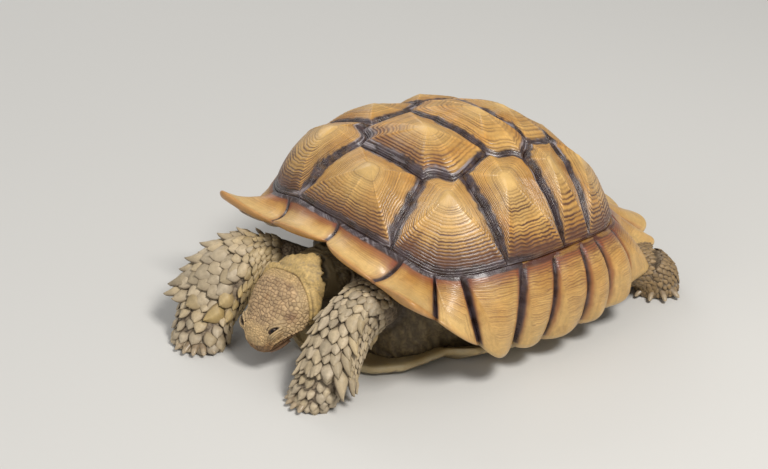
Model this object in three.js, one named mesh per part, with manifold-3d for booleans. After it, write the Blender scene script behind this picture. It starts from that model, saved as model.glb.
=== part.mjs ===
// A sulcata tortoise feeding with its head lowered: a still, life-size model.
// Millimetres, +Z up. The animal faces -Y, its left side is +X, and its plastron rests on z = 0.
import * as THREE from 'three';
import { mergeVertices } from 'three/addons/utils/BufferGeometryUtils.js';
import Module from 'manifold-3d';

const wasm = await Module();
wasm.setup();

// ---------------------------------------------------------------- driving dimensions

const GAP = 0.3;
const CENTRE_Y = 10;

// The carapace dome: a superellipse in plan, which the ring of marginal plates surrounds.
const DOME = {
  halfWidth: 212, frontHalf: 217, rearHalf: 216, crown: 283,
  frontPower: 2.8, rearPower: 2.6, profilePower: 2.05, fullness: 0.53, flattening: 0.3,
};
// Height of the dome's lower edge, by degrees round from the front.
const DOME_EDGE = [
  [0, 205], [25, 197], [42, 172], [55, 171], [67, 171], [80, 165], [108, 156], [135, 136], [180, 125],
];
// How far the common wall between dome and marginals leans up from the horizontal.
const WALL_LEAN = [[0, 52], [40, 55], [60, 34], [80, 22], [120, 24], [150, 38], [180, 45]];

const PLATE = { thickness: 9, areolaLift: 11, seamDrop: 5, wallShift: 0.6 };
const PLATE_RINGS = [1, 0.9, 0.6, 0.28];
const PLATE_UNDER_RINGS = [1, 0.55];

// Corners of the dome's plates on the left half, in plan. Those on the dome's edge are degrees.
const CORNER = {
  neck: { edge: 0 }, v1c1: { edge: 25.5 }, c1c2: { edge: 67 }, c2c3: { edge: 95 }, c3c4: { edge: 109 },
  c4v5: { edge: 149 }, rump: { edge: 180 },
  v1v2: { x: 67, y: -111 }, v2c2: { x: 97, y: -64 }, v2v3: { x: 84, y: -5 },
  v3c3: { x: 113, y: 39 }, v3v4: { x: 89, y: 70 }, v4c4: { x: 86, y: 113 }, v4v5: { x: 72, y: 131 },
};
const VERTEBRAL = [
  { areola: [0, -141], corners: ['neck', 'v1c1', 'v1v2'] },
  { areola: [0, -41], corners: ['v1v2', 'v2c2', 'v2v3'] },
  { areola: [0, 54], corners: ['v2v3', 'v3c3', 'v3v4'] },
  { areola: [0, 101], corners: ['v3v4', 'v4c4', 'v4v5'] },
  { areola: [0, 170], corners: ['v4v5', 'c4v5', 'rump'] },
];
const COSTAL = [
  { areola: [112, -104], corners: ['v1c1', 'c1c2', 'v2c2', 'v1v2'] },
  { areola: [132, -22], corners: ['c1c2', 'c2c3', 'v3c3', 'v2v3', 'v2c2'] },
  { areola: [130, 64], corners: ['c2c3', 'c3c4', 'v4c4', 'v3v4', 'v3c3'] },
  { areola: [116, 135], corners: ['c3c4', 'c4v5', 'v4v5', 'v4c4'] },
];

// Marginal plates, front to rear: where each ends on the dome's edge and on the rim (degrees),
// the rim's radius and height there, and the free tip that stands out between its two seams.
const RIM_FRONT = { edge: 0, rim: 0, radius: 241, height: 181 };
const MARGINAL = [
  { edge: 30.5, rim: 23.7, radius: 272, height: 170, tip: 9, lift: 8, at: 0.45 },
  { edge: 41, rim: 42.7, radius: 286, height: 133, tip: 40, lift: 32, at: 0.75, right: { tip: 30, lift: 34 } },
  { edge: 49.8, rim: 55.4, radius: 269, height: 77, tip: 6, lift: 0, at: 0.4 },
  { edge: 73.5, rim: 67.8, radius: 236, height: 48, tip: 12, lift: -8, at: 0.55 },
  { edge: 89.2, rim: 80.8, radius: 227, height: 39, tip: 6, lift: -2, at: 0.5 },
  { edge: 103.2, rim: 97.2, radius: 232, height: 41, tip: 6, lift: -2, at: 0.5 },
  { edge: 112.1, rim: 109.6, radius: 242, height: 43, tip: 7, lift: -2, at: 0.5 },
  { edge: 126.8, rim: 122.9, radius: 261, height: 51, tip: 9, lift: -2, at: 0.6 },
  { edge: 140, rim: 137.7, radius: 277, height: 61, tip: 13, lift: -3, at: 0.75 },
  { edge: 154, rim: 150.2, radius: 286, height: 72, tip: 20, lift: -3, at: 0.7 },
  { edge: 168, rim: 164, radius: 288, height: 77, tip: 18, lift: -2, at: 0.4 },
];
const SUPRACAUDAL = { edge: 192, rim: 196, tip: 8, lift: -6, at: 0.5 };
const RIM_REAR = { rim: 180, radius: 288, height: 76 };
// How far a marginal's face bows out (or curls up, where negative) from edge to rim.
const MARGINAL_BOW = [
  [0, -7], [30, -12], [44, -10], [58, 8], [75, 17], [115, 17], [130, 8], [145, -5], [180, -8],
];
// A face's swelling between its seams, and how it runs out towards the dome and the rim.
const MARGINAL_RELIEF = { rise: 8, across: 0.6, start: 0.02, span: 0.62, down: 0.8, turn: 2.5 };
const MARGINAL_ROWS = [0, 0.25, 0.5, 0.75, 0.93, 1];
const MARGINAL_UNDER_ROWS = [0.97, 0.6, 0.25, 0];
const MARGINAL_PARTNERS = [0, 1, 2, 2, 3, 3];
const RIM_THICKNESS = 13;
// How much of a marginal's width is left out at each seam, and how far a cutter runs past it.
const SEAM_TRIM = 0.0035;
const CUTTER_RUN = 0.003;
const SEAM_STEP = 30;
// The widest step round the dome's edge, in degrees, closer in the flared front.
const EDGE_STEP = 9.5;
const FLARE_STEP = 4.5;
const FLARE_END = 49;

// The shell's right shoulder, which stands out and up further than its left one: how far, and
// where it starts, is full, eases off and ends, in degrees round from the front and by radius.
const SHOULDER = {
  out: 24, outTurns: [22, 45, 58, 92], outRadii: [130, 225],
  up: 16, upTurns: [25, 50, 75, 120], upRadii: [95, 185], upKept: 0.4, upEase: [195, 240],
};

const FINISH = {
  plate: { color: 0xc08f45, roughness: 0.35 }, marginal: { color: 0xc79a50, roughness: 0.35 },
  plastron: { color: 0xc9b27c, roughness: 0.45 }, skin: { color: 0x9b8a63, roughness: 0.85 },
  scale: { color: 0x9c8f74, roughness: 0.8 }, horn: { color: 0x8a7a58, roughness: 0.7 },
  eye: { color: 0x120d08, roughness: 0.1 },
};

// ---------------------------------------------------------------- small helpers

const radians = (degrees) => degrees * Math.PI / 180;
const mix = (a, b, t) => a + (b - a) * t;
const along = (a, b, t) => a.clone().lerp(b, t);

// A smooth function through [x, value] stops.
function through(stops) {
  const slope = stops.map((stop, i) => {
    const before = stops[Math.max(i - 1, 0)];
    const after = stops[Math.min(i + 1, stops.length - 1)];
    return (after[1] - before[1]) / (after[0] - before[0]);
  });
  return (x) => {
    let i = 0;
    while (i < stops.length - 2 && x > stops[i + 1][0]) i += 1;
    const [x0, y0] = stops[i];
    const [x1, y1] = stops[i + 1];
    const h = x1 - x0;
    const t = Math.min(Math.max((x - x0) / h, 0), 1);
    return y0 * (1 + 2 * t) * (1 - t) ** 2 + slope[i] * h * t * (1 - t) ** 2
      + y1 * t * t * (3 - 2 * t) + slope[i + 1] * h * t * t * (t - 1);
  };
}

// Collects the corners and triangles of one closed body.
class Shell {
  constructor() {
    this.points = [];
    this.faces = [];
  }

  ring(points) {
    return points.map((point) => this.points.push(point.clone()) - 1);
  }

  // A band between two rows; `turned` parts its quads along their other diagonal.
  strip(a, b, closed, turned = false) {
    const count = closed ? a.length : a.length - 1;
    for (let i = 0; i < count; i += 1) {
      const j = (i + 1) % a.length;
      if (turned) this.faces.push(a[i], a[j], b[i], a[j], b[j], b[i]);
      else this.faces.push(a[i], a[j], b[j], a[i], b[j], b[i]);
    }
  }

  fan(ring, tip) {
    const [apex] = this.ring([tip]);
    for (let i = 0; i < ring.length; i += 1) this.faces.push(ring[i], ring[(i + 1) % ring.length], apex);
  }

  // Closes the narrow space between two open rows; `partners` says which corner of b faces each of a.
  zip(a, b, partners, turned) {
    const partner = (i) => b[partners[i]];
    const triangle = (...corners) => this.faces.push(...(turned ? corners.reverse() : corners));
    for (let i = 0; i + 1 < a.length; i += 1) {
      triangle(a[i], a[i + 1], partner(i));
      if (partner(i + 1) !== partner(i)) triangle(a[i + 1], partner(i + 1), partner(i));
    }
  }

  geometry() {
    const geometry = new THREE.BufferGeometry();
    const places = this.points.flatMap((point) => point.toArray());
    geometry.setAttribute('position', new THREE.Float32BufferAttribute(places, 3));
    geometry.setIndex(this.faces);
    return outward(geometry);
  }
}

function volume(geometry) {
  const position = geometry.getAttribute('position');
  const corner = (i) => new THREE.Vector3().fromBufferAttribute(position, geometry.index.getX(i));
  let sum = 0;
  for (let i = 0; i < geometry.index.count; i += 3) sum += corner(i).dot(corner(i + 1).cross(corner(i + 2)));
  return sum / 6;
}

function outward(geometry) {
  if (volume(geometry) < 0) geometry.index.array.reverse();
  return geometry;
}

function toManifold(geometry) {
  const clean = geometry.clone();
  clean.deleteAttribute('normal');
  clean.deleteAttribute('uv');
  const merged = mergeVertices(clean, 1e-4);
  return new wasm.Manifold(new wasm.Mesh({
    numProp: 3,
    vertProperties: new Float32Array(merged.getAttribute('position').array),
    triVerts: new Uint32Array(merged.index.array),
  }));
}

// The largest single body of a cut or joined solid.
function fromManifold(solid) {
  const bodies = solid.decompose().sort((a, b) => b.volume() - a.volume());
  const mesh = bodies[0].getMesh();
  const geometry = new THREE.BufferGeometry();
  geometry.setAttribute('position', new THREE.Float32BufferAttribute(mesh.vertProperties, 3));
  geometry.setIndex([...mesh.triVerts]);
  return geometry;
}

const less = (geometry, ...tools) => fromManifold(
  tools.reduce((solid, tool) => solid.subtract(toManifold(tool)), toManifold(geometry)));
const joined = (...geometries) => fromManifold(
  geometries.slice(1).reduce((solid, other) => solid.add(toManifold(other)), toManifold(geometries[0])));

const toIndexed = (geometry) => fromManifold(toManifold(geometry));
const ACROSS = new THREE.Matrix4().makeScale(-1, 1, 1);
const mirrored = (geometry) => outward(geometry.clone().applyMatrix4(ACROSS));

// ---------------------------------------------------------------- the dome's surface

const folded = (degrees) => Math.min(Math.abs(degrees), 360 - Math.abs(degrees));
const domeEdgeHeight = through(DOME_EDGE);
const wallLean = through(WALL_LEAN);

function domeReach(degrees) {
  const rear = Math.cos(radians(degrees)) < 0;
  const half = rear ? DOME.rearHalf : DOME.frontHalf;
  const power = rear ? DOME.rearPower : DOME.frontPower;
  const across = Math.abs(Math.sin(radians(degrees))) / DOME.halfWidth;
  const length = Math.abs(Math.cos(radians(degrees))) / half;
  return (across ** power + length ** power) ** (-1 / power);
}

const inPlan = (degrees, radius, height = 0) => new THREE.Vector3(
  radius * Math.sin(radians(degrees)), CENTRE_Y - radius * Math.cos(radians(degrees)), height);

// Plates are laid out on the dome opened flat, where its steep sides keep their true size.
const flatten = (q) => (q + DOME.flattening * q ** 5) / (1 + DOME.flattening);

function unflatten(m) {
  let q = m;
  for (let i = 0; i < 8; i += 1) {
    q -= (flatten(q) - m) * (1 + DOME.flattening) / (1 + 5 * DOME.flattening * q ** 4);
  }
  return q;
}

function flatOf(x, y) {
  const degrees = THREE.MathUtils.radToDeg(Math.atan2(x, CENTRE_Y - y));
  const reach = domeReach(degrees);
  const m = flatten(Math.hypot(x, y - CENTRE_Y) / reach) * reach;
  return new THREE.Vector2(m * Math.sin(radians(degrees)), -m * Math.cos(radians(degrees)));
}

function domePoint(flat) {
  const degrees = THREE.MathUtils.radToDeg(Math.atan2(flat.x, -flat.y));
  const reach = domeReach(degrees);
  const q = Math.min(unflatten(flat.length() / reach), 1);
  const low = domeEdgeHeight(Math.abs(degrees));
  const rise = (1 - q ** DOME.profilePower) * (1 + DOME.fullness * q * q);
  return inPlan(degrees, q * reach, mix(low, DOME.crown, rise));
}

// The dome's outward direction, read a little inside its steep edge.
function domeNormal(flat) {
  const step = 0.5;
  const inside = 0.985;
  const near = (x, y) => domePoint(new THREE.Vector2(flat.x * inside + x, flat.y * inside + y));
  return near(step, 0).sub(near(-step, 0)).cross(near(0, step).sub(near(0, -step))).normalize();
}

// A place on the dome's edge, or a share of the way out to it, on the flat layout.
function edgeFlat(degrees, share = 1) {
  const reach = domeReach(degrees) * share;
  return new THREE.Vector2(reach * Math.sin(radians(degrees)), -reach * Math.cos(radians(degrees)));
}

function wallNormal(degrees) {
  const lean = radians(wallLean(folded(degrees)));
  return inPlan(degrees, Math.cos(lean)).sub(inPlan(degrees, 0)).setZ(Math.sin(lean));
}

const { smoothstep } = THREE.MathUtils;
const plateau = (x, [start, full, ease, end]) => smoothstep(x, start, full) * (1 - smoothstep(x, ease, end));

// Moves the shell's right shoulder out and up.
function shouldered(geometry) {
  const position = geometry.getAttribute('position');
  const point = new THREE.Vector3();
  for (let i = 0; i < position.count; i += 1) {
    point.fromBufferAttribute(position, i);
    const turn = THREE.MathUtils.radToDeg(Math.atan2(-point.x, CENTRE_Y - point.y));
    const radius = Math.hypot(point.x, point.y - CENTRE_Y);
    const out = SHOULDER.out * plateau(turn, SHOULDER.outTurns) * smoothstep(radius, ...SHOULDER.outRadii);
    const kept = mix(1, SHOULDER.upKept, smoothstep(radius, ...SHOULDER.upEase));
    const up = SHOULDER.up * plateau(turn, SHOULDER.upTurns) * smoothstep(radius, ...SHOULDER.upRadii) * kept;
    point.add(inPlan(-turn, out, up)).setY(point.y - CENTRE_Y);
    position.setXYZ(i, point.x, point.y, point.z);
  }
  return geometry;
}

// ---------------------------------------------------------------- plates of the dome

// Every place round the dome's edge where a plate ends, with fill-ins between them.
const EDGE_STOPS = (() => {
  const corners = Object.values(CORNER).filter((corner) => 'edge' in corner);
  const seams = [...corners, ...MARGINAL].map(({ edge }) => edge);
  const sorted = [...new Set(seams)].sort((a, b) => a - b);
  const stops = [];
  sorted.slice(0, -1).forEach((from, i) => {
    const widest = from < FLARE_END ? FLARE_STEP : EDGE_STEP;
    const parts = Math.ceil((sorted[i + 1] - from) / widest);
    for (let k = 0; k < parts; k += 1) stops.push(mix(from, sorted[i + 1], k / parts));
  });
  return [...stops, 180];
})();

function edgeStopsBetween(from, to) {
  const round = [...EDGE_STOPS, ...EDGE_STOPS.slice(0, -1).reverse().map((degrees) => 360 - degrees)];
  return round.filter((degrees) => degrees >= from - 1e-6 && degrees <= to + 1e-6);
}

function cornerFlat(name) {
  const corner = CORNER[name];
  return 'edge' in corner ? edgeFlat(corner.edge) : flatOf(corner.x, corner.y);
}

// The points of one plate's side, each with the direction of the wall below it.
function seam(from, to) {
  const a = CORNER[from];
  const b = CORNER[to];
  if ('edge' in a && 'edge' in b) {
    const stops = edgeStopsBetween(Math.min(a.edge, b.edge), Math.max(a.edge, b.edge));
    if (a.edge > b.edge) stops.reverse();
    return stops.map((degrees) => ({ flat: edgeFlat(degrees), normal: wallNormal(degrees) }));
  }
  const start = cornerFlat(from);
  const end = cornerFlat(to);
  const steps = Math.max(2, Math.round(start.distanceTo(end) / SEAM_STEP));
  const points = [];
  for (let i = 0; i <= steps; i += 1) {
    const flat = start.clone().lerp(end, i / steps);
    const cornerName = i === 0 ? from : i === steps ? to : null;
    const onEdge = cornerName !== null && 'edge' in CORNER[cornerName];
    points.push({ flat, normal: onEdge ? wallNormal(CORNER[cornerName].edge) : domeNormal(flat) });
  }
  return points;
}

function outline(corners) {
  return corners.flatMap((name, i) => seam(name, corners[(i + 1) % corners.length]).slice(0, -1));
}

function acrossMidline({ flat, normal }) {
  const across = new THREE.Vector3(-normal.x, normal.y, normal.z);
  return { flat: new THREE.Vector2(-flat.x, flat.y), normal: across };
}

// A vertebral plate's outline: its left sides, and the same sides again on the right.
function vertebralOutline(corners) {
  const left = corners.slice(0, -1).flatMap((name, i) => seam(name, corners[i + 1]).slice(i === 0 ? 0 : 1));
  const right = [...left].reverse().map(acrossMidline);
  const middle = (a, b) => {
    if (Math.abs(a.flat.x) < 1e-6) return [];
    const steps = Math.max(2, Math.round(a.flat.distanceTo(b.flat) / SEAM_STEP));
    return Array.from({ length: steps - 1 }, (_, i) => {
      const flat = a.flat.clone().lerp(b.flat, (i + 1) / steps);
      return { flat, normal: domeNormal(flat) };
    });
  };
  const rear = middle(left.at(-1), right[0]);
  const front = middle(right.at(-1), left[0]);
  const ownRight = right.filter((point) => Math.abs(point.flat.x) > 1e-6);
  return [...left, ...rear, ...ownRight, ...front];
}

function plate(boundary, [areolaX, areolaY]) {
  const areola = flatOf(areolaX, areolaY);
  const at = (side, ring) => {
    const reach = side.flat.distanceTo(areola);
    return areola.clone().lerp(side.flat, ring * (1 - PLATE.wallShift / reach));
  };
  const relief = (ring) => PLATE.areolaLift * (1 - ring) ** 1.3 - PLATE.seamDrop * ring ** 8;
  const shell = new Shell();
  const above = PLATE_RINGS.map((ring) => shell.ring(boundary.map((side) => {
    const flat = at(side, ring);
    const normal = ring === 1 ? side.normal : domeNormal(flat);
    return domePoint(flat).addScaledVector(normal, relief(ring));
  })));
  const below = PLATE_UNDER_RINGS.map((ring) => shell.ring(boundary.map((side) => {
    const flat = at(side, ring);
    const normal = ring === 1 ? side.normal : domeNormal(flat);
    return domePoint(flat).addScaledVector(normal, -PLATE.thickness);
  })));
  above.slice(1).forEach((ring, i) => shell.strip(above[i], ring, true));
  shell.fan(above.at(-1), domePoint(areola).addScaledVector(domeNormal(areola), relief(0)));
  shell.strip(below[0], above[0], true);
  below.slice(1).forEach((ring, i) => shell.strip(ring, below[i], true));
  const inner = domePoint(areola).addScaledVector(domeNormal(areola), -PLATE.thickness);
  shell.fan([...below.at(-1)].reverse(), inner);
  return shell.geometry();
}

// ---------------------------------------------------------------- marginal plates

const RIM_STOPS = [RIM_FRONT, ...MARGINAL, RIM_REAR];
const rimRadius = through(RIM_STOPS.map((stop) => [stop.rim, stop.radius]));
const rimHeight = through(RIM_STOPS.map((stop) => [stop.rim, stop.height]));
const marginalBow = through(MARGINAL_BOW);

// One marginal's face: u runs from its front seam to its rear one, v from the dome to the rim.
function marginalFrame(piece, before, u, grow) {
  const edge = mix(before.edge, piece.edge, u);
  const rim = mix(before.rim, piece.rim, u);
  const inside = Math.min(Math.max(u, 0), 1);
  const stand = Math.sin(Math.PI * inside ** (Math.log(0.5) / Math.log(piece.at)));
  const top = inPlan(edge, domeReach(edge), domeEdgeHeight(folded(edge)));
  const radius = rimRadius(folded(rim)) + piece.tip * stand + grow;
  const tip = inPlan(rim, radius, rimHeight(folded(rim)) + piece.lift * stand);
  const across = new THREE.Vector3(Math.cos(radians(rim)), Math.sin(radians(rim)), 0);
  const face = tip.clone().sub(top).cross(across).normalize();
  top.addScaledVector(tip.clone().sub(top).normalize(), PLATE.wallShift);
  return {
    top, tip, face, wall: wallNormal(edge), bow: marginalBow(folded(rim)),
    rise: MARGINAL_RELIEF.rise * Math.abs(Math.sin(Math.PI * inside)) ** MARGINAL_RELIEF.across,
  };
}

function marginalPoint(frame, v, depth) {
  const { start, span, down, turn } = MARGINAL_RELIEF;
  const middle = along(frame.top, frame.tip, 0.5).addScaledVector(frame.face, 2 * frame.bow);
  const point = along(along(frame.top, middle, v), along(middle, frame.tip, v), v);
  const normal = along(frame.wall, frame.face, Math.min(v * turn, 1)).normalize();
  const relief = frame.rise * Math.sin(Math.PI * Math.min(v * span + start, 1)) ** down;
  return point.addScaledVector(normal, depth === 0 ? relief - PLATE.seamDrop : -depth);
}

function marginal(piece, before, grow = 0) {
  const trim = grow > 0 ? -CUTTER_RUN : SEAM_TRIM;
  const columns = edgeStopsBetween(before.edge, piece.edge).map((degrees) => {
    const u = (degrees - before.edge) / (piece.edge - before.edge);
    return marginalFrame(piece, before, mix(trim, 1 - trim, u), grow);
  });
  const shell = new Shell();
  const faceRows = MARGINAL_ROWS.map((v) => shell.ring(columns.map(
    (frame) => marginalPoint(frame, v, 0).addScaledVector(frame.face, grow))));
  const underRows = MARGINAL_UNDER_ROWS.map((v) => shell.ring(columns.map(
    (frame) => marginalPoint(frame, v, mix(PLATE.thickness, RIM_THICKNESS, v) + grow))));
  const rows = [...faceRows, ...underRows];
  rows.forEach((row, i) => shell.strip(row, rows[(i + 1) % rows.length], false, i >= faceRows.length));
  const [front, rear] = [0, columns.length - 1].map((column) => ({
    above: faceRows.map((row) => row[column]),
    below: [...underRows].reverse().map((row) => row[column]),
  }));
  shell.zip(front.above, front.below, MARGINAL_PARTNERS, false);
  shell.zip(rear.above, rear.below, MARGINAL_PARTNERS, true);
  return shell.geometry();
}

// ---------------------------------------------------------------- plastron

// Sections front to rear: half-width, height of the edge's underside, half-width of the flat.
const PLASTRON = [
  { y: -258, wide: 30, edge: 6, flat: 14 }, { y: -248, wide: 62, edge: 5, flat: 40 },
  { y: -225, wide: 98, edge: 5, flat: 74 }, { y: -190, wide: 122, edge: 6, flat: 92 },
  { y: -150, wide: 132, edge: 9, flat: 102 }, { y: -126, wide: 140, edge: 14, flat: 106 },
  { y: -106, wide: 180, edge: 26, flat: 138 }, { y: -55, wide: 200, edge: 26, flat: 156 },
  { y: 10, wide: 205, edge: 25, flat: 160 }, { y: 70, wide: 202, edge: 26, flat: 156 },
  { y: 102, wide: 184, edge: 28, flat: 136 }, { y: 124, wide: 136, edge: 14, flat: 98 },
  { y: 165, wide: 124, edge: 9, flat: 88 }, { y: 205, wide: 98, edge: 7, flat: 66 },
  { y: 232, wide: 58, edge: 7, flat: 32 },
];
const PLASTRON_THICKNESS = 13;

function plastronSolid(grow = 0) {
  const shell = new Shell();
  const rings = PLASTRON.map((station, i) => {
    const { wide, edge, flat } = station;
    const y = station.y + (i === 0 ? -grow : i === PLASTRON.length - 1 ? grow : 0);
    const half = [
      [flat, -grow], [wide - 4, edge - grow], [wide + grow, edge + 5],
      [wide - 5, edge + 11 + grow], [flat - 6, PLASTRON_THICKNESS + grow],
    ];
    const left = half.map(([x, z]) => new THREE.Vector3(x, y, z));
    const right = [...half].reverse().map(([x, z]) => new THREE.Vector3(-x, y, z));
    return shell.ring([...left, ...right]);
  });
  rings.slice(1).forEach((ring, i) => shell.strip(rings[i], ring, true));
  const middle = (y) => new THREE.Vector3(0, y, PLASTRON_THICKNESS / 2);
  shell.fan([...rings[0]].reverse(), middle(PLASTRON[0].y - grow));
  shell.fan(rings.at(-1), middle(PLASTRON.at(-1).y + grow));
  return shell.geometry();
}

// ---------------------------------------------------------------- the body under the shell

const TRUNK_CLEARANCE = 4.5;
const TRUNK_DOME_ROWS = [0.35, 0.68, 0.9, 1];
// The body's wall below the dome, as a share of the dome's reach: [degrees, share] at each height.
const TRUNK_WALL = [
  {
    height: 112,
    share: [[0, 0.86], [30, 0.86], [45, 0.84], [64, 0.96], [90, 1], [118, 0.97], [138, 0.86], [180, 0.9]],
  },
  {
    height: 62,
    share: [
      [0, 0.98], [22, 0.97], [32, 0.9], [45, 0.8], [64, 0.92], [90, 0.97], [118, 0.93], [138, 0.84], [180, 0.92],
    ],
  },
  {
    height: 12,
    share: [
      [0, 1], [22, 0.98], [32, 0.88], [45, 0.72], [64, 0.76], [90, 0.78], [118, 0.76], [138, 0.76], [180, 0.9],
    ],
  },
];
const TRUNK_COLUMNS = 32;

function trunkSolid(grow = 0) {
  const shell = new Shell();
  const turns = Array.from({ length: TRUNK_COLUMNS }, (_, i) => 360 * i / TRUNK_COLUMNS);
  const under = PLATE.thickness + TRUNK_CLEARANCE - grow;
  const domeRows = TRUNK_DOME_ROWS.map((share) => shell.ring(turns.map((degrees) => {
    const flat = edgeFlat(degrees, share);
    return domePoint(flat).addScaledVector(share === 1 ? wallNormal(degrees) : domeNormal(flat), -under);
  })));
  const wallRows = TRUNK_WALL.map(({ height, share }) => {
    const shareAt = through(share);
    const reach = (degrees) => domeReach(degrees) * shareAt(folded(degrees)) + grow;
    return shell.ring(turns.map((degrees) => inPlan(degrees, reach(degrees), height)));
  });
  const rows = [...domeRows, ...wallRows];
  rows.slice(1).forEach((row, i) => shell.strip(rows[i], row, true));
  shell.fan([...rows[0]].reverse(), new THREE.Vector3(0, CENTRE_Y, DOME.crown - under));
  shell.fan(rows.at(-1), new THREE.Vector3(0, CENTRE_Y, TRUNK_WALL.at(-1).height - grow));
  return shell.geometry();
}

// ---------------------------------------------------------------- limbs, neck and tail

const LIMB_SIDES = 12;
const LIMB_ROUNDNESS = 2.3;

// A point of a rounded square; a roundness of 2 is a circle.
function roundedTurn(turn, roundness) {
  const [c, s] = [Math.cos(turn), Math.sin(turn)];
  const size = (Math.abs(c) ** roundness + Math.abs(s) ** roundness) ** (-1 / roundness);
  return [c * size, s * size];
}

// The ring of points round one section: `wide` lies along `side`, `deep` across it.
function section(station, axis, side, grow) {
  const hint = new THREE.Vector3(...side);
  const across = hint.addScaledVector(axis, -axis.dot(hint)).normalize();
  const depth = axis.clone().cross(across).normalize();
  return Array.from({ length: LIMB_SIDES }, (_, i) => {
    const [c, s] = roundedTurn(2 * Math.PI * i / LIMB_SIDES, LIMB_ROUNDNESS);
    return new THREE.Vector3(...station.at)
      .addScaledVector(across, c * (station.wide + grow))
      .addScaledVector(depth, s * (station.deep + grow));
  });
}

// A body lofted through its stations; `axis` on a station overrides the direction along the limb,
// `shift` moves the start along it and `blunt` rounds the two ends, as a share of their width.
function limb(stations, { side = [1, 0, 0], grow = 0, shift = 0, blunt = [0.3, 0] } = {}) {
  const centres = stations.map((station) => new THREE.Vector3(...station.at));
  const run = (i) => centres[Math.min(i + 1, centres.length - 1)].clone().sub(centres[Math.max(i - 1, 0)]);
  const axes = stations.map(({ axis }, i) => (axis ? new THREE.Vector3(...axis) : run(i)).normalize());
  const shell = new Shell();
  const rings = stations.map((station, i) => {
    const points = section(station, axes[i], side, grow);
    if (i === 0) points.forEach((point) => point.addScaledVector(axes[0], shift - grow));
    return shell.ring(points);
  });
  rings.slice(1).forEach((ring, i) => shell.strip(rings[i], ring, true));
  const start = centres[0].addScaledVector(axes[0], shift - grow - blunt[0] * stations[0].wide);
  const end = centres.at(-1).addScaledVector(axes.at(-1), grow + blunt[1] * stations.at(-1).wide);
  shell.fan([...rings[0]].reverse(), start);
  shell.fan(rings.at(-1), end);
  return shell.geometry();
}

const SOLE = [0, 0, -1];
// Left foreleg, from the shoulder beside the neck over the raised elbow to the cuff of scales.
const FORELEG = [
  { at: [46, -152, 78], wide: 38, deep: 36 },
  { at: [63, -190, 96], wide: 42, deep: 37 },
  { at: [82, -225, 109], wide: 43, deep: 36 },
  { at: [80, -252, 96], wide: 42, deep: 34 },
  { at: [83, -278, 68], wide: 43, deep: 34 },
  { at: [90, -303, 36], wide: 46, deep: 35 },
];
const FOREFOOT = [
  { at: [87, -302, 42], wide: 36, deep: 31 },
  { at: [88, -316, 25], wide: 35, deep: 31, axis: [0, -0.35, -1] },
  { at: [87, -325, 9], wide: 34, deep: 31, axis: SOLE },
  { at: [87, -326, 0], wide: 31, deep: 28, axis: SOLE },
];
// The right one reaches further forward, with its broad front turned in.
const FORELEG_RIGHT = [
  { at: [-62, -156, 66], wide: 38, deep: 34 },
  { at: [-92, -194, 79], wide: 43, deep: 36 },
  { at: [-126, -230, 93], wide: 46, deep: 37 },
  { at: [-146, -264, 91], wide: 50, deep: 37 },
  { at: [-155, -298, 68], wide: 52, deep: 36 },
  { at: [-158, -326, 37], wide: 50, deep: 34 },
];
const FOREFOOT_RIGHT = [
  { at: [-152, -322, 42], wide: 41, deep: 31 },
  { at: [-143, -338, 26], wide: 41, deep: 32, axis: [0.3, -0.45, -1] },
  { at: [-134, -350, 9], wide: 41, deep: 34, axis: SOLE },
  { at: [-133, -351, 0], wide: 38, deep: 31, axis: SOLE },
];
const RIGHT_SIDE = [0.88, 0.47, 0];
const HINDLEG = [
  { at: [96, 110, 72], wide: 48, deep: 40 },
  { at: [124, 158, 70], wide: 50, deep: 40 },
  { at: [158, 203, 51], wide: 44, deep: 36 },
  { at: [180, 231, 43], wide: 38, deep: 34 },
];
const HINDFOOT = [
  { at: [180, 231, 43], wide: 38, deep: 34 },
  { at: [189, 242, 26], wide: 36, deep: 36, axis: [0.3, 0.3, -1] },
  { at: [191, 245, 7], wide: 35, deep: 36, axis: SOLE },
  { at: [191, 245, 0], wide: 32, deep: 33, axis: SOLE },
];
const TAIL = [
  { at: [0, 176, 66], wide: 30, deep: 24 },
  { at: [0, 218, 58], wide: 25, deep: 20 },
  { at: [0, 252, 47], wide: 17, deep: 14 },
  { at: [0, 280, 36], wide: 8, deep: 7 },
];
const NECK = [
  { at: [-10, -150, 104], wide: 52, deep: 42 },
  { at: [-20, -200, 114], wide: 49, deep: 38 },
  { at: [-27, -238, 113], wide: 44, deep: 33 },
  { at: [-34, -262, 103], wide: 38, deep: 30 },
];
// The neck is rolled with the head, its left side up.
const NECK_SIDE = [1, 0, 0.25];

const NAIL = { tip: 3.5, root: 8, length: 24, slope: 0.35, height: 11, sides: 7 };

// Blunt nails along a foot's front edge, `spread` degrees either side of straight ahead.
function nails(count, [x, y], heading, reach, spread) {
  return Array.from({ length: count }, (_, i) => {
    const turn = radians(heading + mix(-spread, spread, i / (count - 1)));
    const out = new THREE.Vector3(Math.sin(turn), -Math.cos(turn), 0);
    const nail = new THREE.CylinderGeometry(NAIL.tip, NAIL.root, NAIL.length, NAIL.sides);
    nail.applyQuaternion(new THREE.Quaternion().setFromUnitVectors(
      new THREE.Vector3(0, 1, 0), out.clone().setZ(-NAIL.slope).normalize()));
    return nail.translate(x + out.x * reach, y + out.y * reach, NAIL.height);
  });
}

// ---------------------------------------------------------------- head

// The head's own frame: nose towards -y, crown up, origin where the head meets the neck.
const HEAD = { at: [-35.5, -258, 102], pitch: 40, yaw: 10, roll: -10 };
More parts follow.
